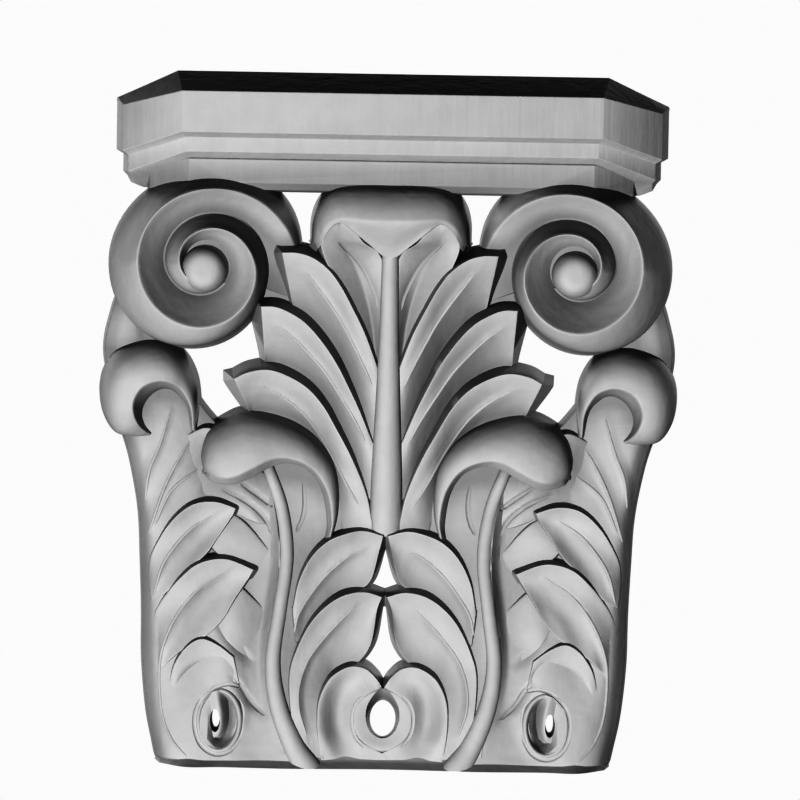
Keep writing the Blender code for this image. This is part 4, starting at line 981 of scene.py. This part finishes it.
def groove_tree():
    """Rods that follow a carved surface along plan lines and grow thin at both ends."""
    tree, builder, source, sink = geometry_tree("Gouge cuts", {
        "Carving": "Object", "Radius": "Float", "Lift": "Float", "Step": "Float", "Reach": "Float",
        "Sides": "Int", "Material": "Material"})
    carved = builder.add("GeometryNodeObjectInfo", {"transform_space": "RELATIVE"}, {
        "Object": source["Carving"]})
    hit = builder.add("GeometryNodeRaycast", inputs={
        "Target Geometry": carved.outputs["Geometry"], "Ray Direction": (0.0, 1.0, 0.0),
        "Ray Length": source["Reach"]})
    forwards = builder.add("ShaderNodeMath", {"operation": "MULTIPLY"}, {0: source["Lift"], 1: -1.0})
    pull = builder.add("ShaderNodeCombineXYZ", inputs={"X": 0.0, "Y": forwards.outputs[0], "Z": 0.0})
    laid = builder.add("GeometryNodeSetPosition", inputs={
        "Geometry": resampled_path(builder, source), "Selection": hit.outputs["Is Hit"],
        "Position": hit.outputs["Hit Position"], "Offset": pull.outputs["Vector"]})
    along = builder.add("GeometryNodeSplineParameter")
    taper = builder.add("ShaderNodeFloatCurve", inputs={"Value": along.outputs["Factor"]})
    line = taper.mapping.curves[0]
    line.points[0].location, line.points[1].location = TAPER[0], TAPER[-1]
    for place, width in TAPER[1:-1]:
        line.points.new(place, width)
    taper.mapping.update()
    size = builder.add("ShaderNodeMath", {"operation": "MULTIPLY"}, {
        0: taper.outputs["Value"], 1: source["Radius"]})
    finish_rod(builder, laid.outputs["Geometry"], size.outputs[0], source, sink)
    return tree


def apply_tree(thing, tree, values):
    """Runs a tree on an object and returns the result; values go in by the sockets' names."""
    modifier = thing.modifiers.new(tree.name, "NODES")
    modifier.node_group = tree
    for item in tree.interface.items_tree:
        if item.in_out == "INPUT" and item.name in values:
            modifier[item.identifier] = values[item.name]
    thing.update_tag()
    data = evaluated_mesh(thing)
    bpy.data.objects.remove(thing)
    return closed_copy(data)


def store(data, name, values):
    """Keeps a number for each vertex as an attribute."""
    attribute = data.attributes.new(name, "FLOAT", "POINT")
    attribute.data.foreach_set("value", np.asarray(values, np.float32))


def path_object(lines):
    """Loose edges through the points of each line."""
    verts, edges = [], []
    for line in lines:
        edges += [(len(verts) + i, len(verts) + i + 1) for i in range(len(line) - 1)]
        verts += line
    data = bpy.data.meshes.new("path")
    data.from_pydata(verts, edges, [])
    return add_object("path", data)


ROD_SIDES = 28


def rod_mesh(stations):
    line = smooth_line(stations)
    thing = path_object([[placed(x, z, h) for x, z, h, width in line]])
    store(thing.data, "half_width", [width * MM for x, z, h, width in line])
    return apply_tree(thing, rod_tree(), {
        "Step": carving().row_step * MM, "Sides": ROD_SIDES, "Material": plaster_material()})


def closed_copy(data):
    """The same mesh, triangulated, with its normals outwards."""
    mesh = bmesh.new()
    mesh.from_mesh(data)
    bmesh.ops.remove_doubles(mesh, verts=mesh.verts[:], dist=1e-6)
    return triangle_mesh(mesh)


# ------------------------------------------------------------------ material
PLASTER_NAME = "cast plaster"
# From this height up the plaster has fine vertical streaks in place of tool marks, in metres
ABACUS_FOOT, ABACUS_FADE = 0.288, 0.002


class Value:
    """A shader socket that works in Python expressions; numbers stay numbers."""

    def __init__(self, builder, socket):
        self.builder = builder
        self.socket = socket

    def _math(self, operation, first, second):
        values = {}
        for i, value in enumerate((first, second)):
            values[i] = value.socket if isinstance(value, Value) else value
        node = self.builder.add("ShaderNodeMath", {"operation": operation}, values)
        return Value(self.builder, node.outputs[0])

    def __add__(self, other):
        return self._math("ADD", self, other)

    __radd__ = __add__

    def __sub__(self, other):
        return self._math("SUBTRACT", self, other)

    def __rsub__(self, other):
        return self._math("SUBTRACT", other, self)

    def __mul__(self, other):
        return self._math("MULTIPLY", self, other)

    __rmul__ = __mul__

    def ramp(self, low, high):
        """0 at low and below, 1 at high and above."""
        node = self.builder.add("ShaderNodeMapRange", {"interpolation_type": "SMOOTHSTEP"}, {
            "Value": self.socket, "From Min": low, "From Max": high})
        return Value(self.builder, node.outputs["Result"])


def plaster_material():
    """Cast plaster with a painted highlight on its rims, painted shade in its hollows and darker painted
    shade deep in its recesses; it is made once.
    """
    return bpy.data.materials.get(PLASTER_NAME) or new_plaster()


def new_plaster():
    settings = bpy.context.scene.capital_plaster
    material = bpy.data.materials.new(PLASTER_NAME)
    material.use_nodes = True
    builder = TreeBuilder(material.node_tree)
    shader = material.node_tree.nodes["Principled BSDF"]
    place = builder.add("ShaderNodeTexCoord").outputs["Object"]

    def noise(scale, detail, stretch=(1.0, 1.0, 1.0)):
        mapping = builder.add("ShaderNodeMapping", inputs={"Vector": place, "Scale": stretch})
        node = builder.add("ShaderNodeTexNoise", {"noise_dimensions": "3D"}, {
            "Vector": mapping.outputs["Vector"], "Scale": scale, "Detail": detail, "Roughness": 0.6})
        return Value(builder, node.outputs["Fac"])

    def colour_mix(factor, first, second):
        """A colour Mix node has its factor at 0, its colours at 6 and 7, and its result at 2."""
        node = builder.add("ShaderNodeMix", {"data_type": "RGBA"}, {0: factor.socket, 6: first, 7: second})
        return node.outputs[2]

    def attribute(name):
        return Value(builder, builder.add("ShaderNodeAttribute", {"attribute_name": name}).outputs["Fac"])

    convex_amount, deep = attribute("convexity"), attribute("recess")
    cloud = noise(45.0, 4.0)
    grain = noise(900.0, 3.0)
    strokes = noise(130.0, 3.0, (1.0, 1.0, 0.35))
    streaks = noise(150.0, 2.0, (1.0, 1.0, 0.05))
    facets = Value(builder, builder.add("ShaderNodeTexVoronoi", {
        "voronoi_dimensions": "3D", "feature": "F1"}, {"Vector": place, "Scale": 170.0}).outputs["Distance"])
    parts = builder.add("ShaderNodeSeparateXYZ", inputs={"Vector": place})
    on_abacus = Value(builder, parts.outputs["Z"]).ramp(ABACUS_FOOT, ABACUS_FOOT + ABACUS_FADE)
    # Painted highlight: the convex rims are painted lighter.
    rims = (convex_amount + 0.25 * (grain - 0.5)).ramp(0.12, 0.85)
    # Painted shade: the concave creases are painted darker.
    hollows = (0.2 * (cloud - 0.5) - convex_amount).ramp(0.15, 1.0)
    pale = [min(1.0, c * 1.06) for c in settings.colour]
    body = colour_mix((cloud + 0.3 * strokes).ramp(0.4, 0.95), (*settings.colour, 1.0), (*pale, 1.0))
    body = colour_mix(hollows * 0.8, body, (*settings.hollow_shade_colour, 1.0))
    body = colour_mix(rims * 0.8, body, (*settings.rim_highlight_colour, 1.0))
    # Painted shade, darkest deep in the recesses between the leaves.
    body = colour_mix(deep * 0.6, body, (*settings.recess_shade_colour, 1.0))
    rough = settings.roughness + 0.12 * (grain - 0.5)
    relief = 0.125 * grain + strokes + 0.5 * facets * (1.0 - on_abacus) + 1.6 * streaks * on_abacus
    bump = builder.add("ShaderNodeBump", inputs={
        "Strength": 0.22, "Distance": 0.0012, "Height": relief.socket})
    shader.inputs["Specular IOR Level"].default_value = 0.12
    results = {"Base Color": body, "Roughness": rough.socket, "Normal": bump.outputs["Normal"]}
    for name, socket in results.items():
        material.node_tree.links.new(socket, shader.inputs[name])
    return material


def vertex_values(data, name):
    values = np.empty(len(data.vertices) * 3)
    data.vertices.foreach_get(name, values)
    return values.reshape(-1, 3)


def mark_convexity(data, rounds=3, full=0.35):
    """Stores how convex the surface is at each point: 1 on sharp rims, -1 in sharp hollows. The material
    paints a highlight on the rims and shade in the hollows from it.
    """
    count = len(data.vertices)
    co, normals = vertex_values(data, "co"), vertex_values(data, "normal")
    pairs = np.empty(len(data.edges) * 2, np.int64)
    data.edges.foreach_get("vertices", pairs)
    a, b = pairs.reshape(-1, 2).T
    across = co[b] - co[a]
    length = np.maximum(np.linalg.norm(across, axis=1), 1e-5)
    bend = np.einsum("ij,ij->i", normals[b] - normals[a], across) / length
    total, weight = np.zeros(count), np.zeros(count)
    for end in (a, b):
        np.add.at(total, end, bend * length)
        np.add.at(weight, end, length)
    curvature = total / np.maximum(weight, 1e-9) * MM
    for _ in range(rounds):
        mixed, share = curvature * 1.0, np.ones(count)
        for here, there in ((a, b), (b, a)):
            np.add.at(mixed, here, curvature[there])
            np.add.at(share, here, 1.0)
        curvature = mixed / share
    store(data, "convexity", np.clip(curvature / full, -1.0, 1.0))


def blurred(values, axis, reach):
    """The mean over the cells within reach along an axis, with zeros past the ends."""
    margin = [(0, 0), (0, 0)]
    margin[axis] = (reach + 1, reach)
    total = np.cumsum(np.pad(values, margin), axis=axis)
    span, size = 2 * reach + 1, values.shape[axis]
    ends, starts = range(span, size + span), range(size)
    return (np.take(total, ends, axis=axis) - np.take(total, starts, axis=axis)) / span


def mark_recess_shade(data, rounds=3, reach=6, full=9.0):
    """Stores how far each point lies behind the carving around it: 0 level with it, 1 in a deep recess. The
    material paints shade from it.
    """
    co = vertex_values(data, "co") / MM
    height = BACK_PLANE / MM - co[:, 1]
    columns = (co[:, 0] - co[:, 0].min()).astype(int)
    rows = (co[:, 2] - co[:, 2].min()).astype(int)
    front = np.zeros((columns.max() + 1, rows.max() + 1))
    np.maximum.at(front, (columns, rows), height)
    known = (front > 0.0).astype(float)
    for _ in range(rounds):
        for axis in (0, 1):
            front, known = blurred(front, axis, reach), blurred(known, axis, reach)
    around = front / np.maximum(known, 1e-6)
    store(data, "recess", np.clip((around[columns, rows] - height) / full, 0.0, 1.0) * (height > 1.0))


# ------------------------------------------------------------------ operators
class CAPITAL_OT_abacus(bpy.types.Operator):
    """Model the moulded slab with canted ends on top of the capital"""
    bl_idname = "capital.abacus"
    bl_label = "Abacus"

    def execute(self, context):
        for name, profile in (("abacus", ABACUS_SLAB), ("lowest moulding", LOWEST_MOULDING)):
            add_form(name, moulding_solid(profile))
        return {"FINISHED"}


class CAPITAL_OT_bell(bpy.types.Operator):
    """Model the bell behind the leaves and the ground between them"""
    bl_idname = "capital.bell"
    bl_label = "Bell and ground"

    def execute(self, context):
        add_strips("bell", "middle field", "upper field")
        rows = grid_rows(mirrored_stations(BASE_FIELD), [FACE, FACE], (False, False))
        add_form("base field", strip_solid(rows, [carving().draft] * 4))
        return {"FINISHED"}


class CAPITAL_OT_central_leaf(bpy.types.Operator):
    """Model the lobes, the midrib and the rolled tip of the central leaf"""
    bl_idname = "capital.central_leaf"
    bl_label = "Central leaf"

    def execute(self, context):
        lean = carving().draft
        add_strips("first lobe", "second lobe", "third lobe", "fourth lobe")
        rows = grid_rows(mirrored_stations(TIP_ROLL), [NOSE, SWEEP], (True, True))
        add_form("tip roll", strip_solid(rows, [lean * 0.5, lean * 0.2, lean, lean]))
        add_form("midrib", rod_mesh(MIDRIB))
        return {"FINISHED"}


class CAPITAL_OT_lower_leaves(bpy.types.Operator):
    """Model the curled leaves, the side leaves and the paws at the bottom"""
    bl_idname = "capital.lower_leaves"
    bl_label = "Lower leaves"

    def execute(self, context):
        add_strips("curled leaf", "side lobe high", "side lobe low", "bottom curl", "back lobe low",
                   "back lobe high", "side tongue", "back leaf", "first paw", "second paw", "third paw")
        for name, add, (centre, rings) in (("side collar", add_pair, SIDE_COLLAR),
                                           ("centre collar", add_form, CENTRE_COLLAR)):
            add(name, round_solid(centre, smooth_rings(rings)))
        return {"FINISHED"}


class CAPITAL_OT_scrolls(bpy.types.Operator):
    """Model the volutes with their eyes and the ball scrolls at the sides"""
    bl_idname = "capital.scrolls"
    bl_label = "Volutes and scrolls"

    def execute(self, context):
        add_pair("volute", volute_solid())
        centre, radius, low, high = VOLUTE_EYE
        add_pair("volute eye", round_solid(centre, dome_rings(radius, low, high)))
        add_strips("ball scroll")
        return {"FINISHED"}


class CAPITAL_OT_stems(bpy.types.Operator):
    """Lay the round stems along their paths"""
    bl_idname = "capital.stems"
    bl_label = "Stems"

    def execute(self, context):
        add_pair("stem", rod_mesh(STEM))
        return {"FINISHED"}


CUT_SIZE = 0.4


class CAPITAL_OT_join(bpy.types.Operator):
    """Join the forms into one casting, pierce its eyes and cut its back and foot flat"""
    bl_idname = "capital.join"
    bl_label = "Join and trim"

    def execute(self, context):
        far = CUT_SIZE
        add_form("behind", box_mesh((-far, BACK_PLANE, -far), (far, BACK_PLANE + far, far)), "cuts")
        add_form("below", box_mesh((-far, -far, -far), (far, far, 0.0)), "cuts")
        add_form("centre eye", hole_mesh(*CENTRE_EYE), "cuts")
        add_pair("side eye", hole_mesh(*SIDE_EYE), "cuts")
        forms = collection("forms")
        first = forms.objects[0]
        casting = add_object("casting", first.data.copy())
        forms.objects.unlink(first)
        casting.data = combined(casting, ("UNION", "forms"), ("DIFFERENCE", "cuts"))
        return {"FINISHED"}


RIB_LIFT, VEIN_STEP, VEIN_SIDES = -0.0001, 0.0015, 10
VEIN_CLEARANCE, VEIN_REACH = 0.1, 0.3


class CAPITAL_OT_veins(bpy.types.Operator):
    """Lay the ribs on the carved surface and cut the grooves into it"""
    bl_idname = "capital.veins"
    bl_label = "Veins"

    def execute(self, context):
        casting = bpy.data.objects["casting"]
        start = LOW_CORNER.y - VEIN_CLEARANCE
        for group, operation, radius, lift in (
                ("ribs", "UNION", carving().rib_radius, RIB_LIFT),
                ("gouges", "DIFFERENCE", carving().groove_radius, carving().groove_lift)):
            lines = [[Vector((side * x * MM, start, placed(x, z, 0.0).z)) for x, z in smooth_line(points)]
                     for form, kind, points in VEINS if KINDS[kind][3] == (group == "ribs")
                     for side in (1, -1)]
            rods = apply_tree(path_object(lines), groove_tree(), {
                "Carving": casting, "Radius": radius, "Lift": lift, "Step": VEIN_STEP,
                "Reach": VEIN_REACH, "Sides": VEIN_SIDES, "Material": plaster_material()})
            add_form(group, rods, group)
            casting.data = combined(casting, (operation, group))
        return {"FINISHED"}


SHARP_ANGLE = 28.0
FEWEST_FACES = 1000


class CAPITAL_OT_plaster(bpy.types.Operator):
    """Finish the joined casting in plaster and set it in the frame"""
    bl_idname = "capital.plaster"
    bl_label = "Plaster finish"

    def execute(self, context):
        casting = bpy.data.objects["casting"]
        data = thinned(casting)
        data.name = "carved_capital"
        data.shade_smooth()
        data.set_sharp_from_angle(angle=math.radians(SHARP_ANGLE))
        # These attributes drive the painted highlights and the painted shade of the plaster.
        mark_convexity(data)
        mark_recess_shade(data)
        data.materials.clear()
        data.materials.append(plaster_material())
        capital = add_object("carved_capital", data)
        for group in ("forms", "cuts", "ribs", "gouges"):
            for thing in list(collection(group).objects):
                bpy.data.objects.remove(thing)
            bpy.data.collections.remove(collection(group))
        bpy.data.objects.remove(casting)
        if len(data.polygons) < FEWEST_FACES:
            raise RuntimeError("the casting came out empty")
        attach(capital, "root")
        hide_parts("capital")
        return {"FINISHED"}


# ------------------------------------------------------------------ stage
# Places are from the middle of the capital; the room is a round floor whose edge curves up into a wall.
ROOM_RADIUS, COVE_RADIUS, ROOM_HEIGHT = 7.0, 0.6, 8.0
ROOM_SIDES, FLOOR_STEPS, COVE_STEPS = 96, 6, 12
KEY_PLACE, KEY_SIZE = Vector((-1.2, -4.8, -1.4)), (1.0, 0.45)
FILL_PLACE, FILL_SIZE, FILL_SHARE = Vector((2.6, 4.2, 1.4)), (1.2, 1.2), 0.55
WORLD_STRENGTH = 0.004
VIEW_GAMMA = 0.45
AIM = Vector((0.006, BACK_PLANE - 0.021, (LOW_CORNER.z + HIGH_CORNER.z) / 2 + 0.0116))


def add_light(name, offset, size, power, shadows):
    """An area light that faces the middle of the capital."""
    light = bpy.data.lights.new(name, "AREA")
    light.shape = "RECTANGLE"
    light.size, light.size_y = size
    light.energy = power
    light.use_shadow = shadows
    lamp = add_object(name, light)
    lamp.location = Vector((0.0, 0.0, (LOW_CORNER.z + HIGH_CORNER.z) / 2)) + offset
    lamp.visible_camera = False
    lamp.rotation_euler = (-offset).to_track_quat("-Z", "Y").to_euler()


class CAPITAL_OT_stage(bpy.types.Operator):
    """Set the floor, the backdrop, the lights and the camera"""
    bl_idname = "capital.stage"
    bl_label = "Stage"

    def execute(self, context):
        studio = context.scene.capital_studio
        scene = context.scene
        self.room(studio)
        self.camera(scene, studio)
        add_light("key", KEY_PLACE, KEY_SIZE, studio.key_power, shadows=False)
        for side in (-1.0, 1.0):
            add_light("back fill", FILL_PLACE * Vector((side, 1.0, 1.0)), FILL_SIZE,
                      studio.key_power * FILL_SHARE, shadows=True)
        world = bpy.data.worlds.new("studio")
        world.use_nodes = True
        background = world.node_tree.nodes["Background"]
        background.inputs["Color"].default_value = (1.0, 1.0, 1.0, 1.0)
        background.inputs["Strength"].default_value = WORLD_STRENGTH
        scene.world = world
        scene.view_settings.view_transform = "Standard"
        scene.view_settings.look = "None"
        scene.view_settings.gamma = VIEW_GAMMA
        return {"FINISHED"}

    def room(self, studio):
        """A round floor that curves up into a backdrop on every side."""
        mesh = bmesh.new()
        line = [(ROOM_RADIUS * i / FLOOR_STEPS, 0.0) for i in range(1, FLOOR_STEPS + 1)]
        for i in range(1, COVE_STEPS + 1):
            turn = math.radians(90.0 * i / COVE_STEPS)
            line.append((ROOM_RADIUS + COVE_RADIUS * math.sin(turn), COVE_RADIUS * (1.0 - math.cos(turn))))
        line.append((ROOM_RADIUS + COVE_RADIUS, ROOM_HEIGHT))
        middle = mesh.verts.new((0.0, 0.0, 0.0))
        rows = [[mesh.verts.new((r * x, r * y, z)) for x, y in directions(ROOM_SIDES)] for r, z in line]
        for i in range(ROOM_SIDES):
            mesh.faces.new((middle, rows[0][i - 1], rows[0][i]))
            for inner, outer in zip(rows, rows[1:]):
                mesh.faces.new((inner[i - 1], outer[i - 1], outer[i], inner[i]))
        data = plain_mesh(mesh)
        data.shade_smooth()
        paper = bpy.data.materials.new("paper")
        paper.use_nodes = True
        shader = paper.node_tree.nodes["Principled BSDF"]
        shader.inputs["Base Color"].default_value = (0.0, 0.0, 0.0, 1.0)
        shader.inputs["Roughness"].default_value = 0.9
        shader.inputs["Specular IOR Level"].default_value = 0.0
        shader.inputs["Emission Color"].default_value = (*studio.floor_colour, 1.0)
        shader.inputs["Emission Strength"].default_value = 1.0
        data.materials.append(paper)
        sweep = add_object("sweep", data)
        sweep.visible_diffuse = False
        sweep.visible_shadow = False

    def camera(self, scene, studio):
        """Look at the front from a little above, turned slightly about the view axis."""
        tilt, roll = studio.camera_tilt, studio.camera_roll
        ahead = Vector((0.0, math.cos(tilt), -math.sin(tilt)))
        sideways = Vector((1.0, 0.0, 0.0))
        upright = Vector((0.0, math.sin(tilt), math.cos(tilt)))
        right = sideways * math.cos(roll) + upright * math.sin(roll)
        up = upright * math.cos(roll) - sideways * math.sin(roll)
        lens = bpy.data.cameras.new("camera")
        lens.lens = studio.focal_length
        lens.clip_end = 100.0
        camera = add_object("camera", lens)
        camera.matrix_world = Matrix((right, up, -ahead)).transposed().to_4x4()
        camera.location = AIM - ahead * studio.camera_distance
        scene.camera = camera


class CAPITAL_PT_panel(bpy.types.Panel):
    bl_label = "Capital"
    bl_idname = "CAPITAL_PT_panel"
    bl_space_type = "VIEW_3D"
    bl_region_type = "UI"
    bl_category = "Capital"

    def draw(self, context):
        for step in STEPS:
            self.layout.operator(step.bl_idname)
        for group in GROUPS:
            box = self.layout.box()
            for name in GROUPS[group].__annotations__:
                box.prop(getattr(context.scene, group), name)


STEPS = (CAPITAL_OT_stage, CAPITAL_OT_abacus, CAPITAL_OT_bell, CAPITAL_OT_central_leaf,
         CAPITAL_OT_lower_leaves, CAPITAL_OT_scrolls, CAPITAL_OT_stems, CAPITAL_OT_join, CAPITAL_OT_veins,
         CAPITAL_OT_plaster)
GROUPS = {"capital_carving": CarvingSettings, "capital_plaster": PlasterSettings,
          "capital_studio": StudioSettings}


def register():
    for group in GROUPS.values():
        bpy.utils.register_class(group)
    for name, group in GROUPS.items():
        setattr(bpy.types.Scene, name, PointerProperty(type=group))
    for step in STEPS:
        bpy.utils.register_class(step)
    bpy.utils.register_class(CAPITAL_PT_panel)


def unregister():
    bpy.utils.unregister_class(CAPITAL_PT_panel)
    for step in reversed(STEPS):
        bpy.utils.unregister_class(step)
    for name in GROUPS:
        delattr(bpy.types.Scene, name)
    for group in reversed(GROUPS.values()):
        bpy.utils.unregister_class(group)


def main():
    register()
    bpy.ops.capital.stage()
    bpy.ops.capital.abacus()
    bpy.ops.capital.bell()
    bpy.ops.capital.central_leaf()
    bpy.ops.capital.lower_leaves()
    bpy.ops.capital.scrolls()
    bpy.ops.capital.stems()
    bpy.ops.capital.join()
    bpy.ops.capital.veins()
    bpy.ops.capital.plaster()


if __name__ == "__main__":
    main()
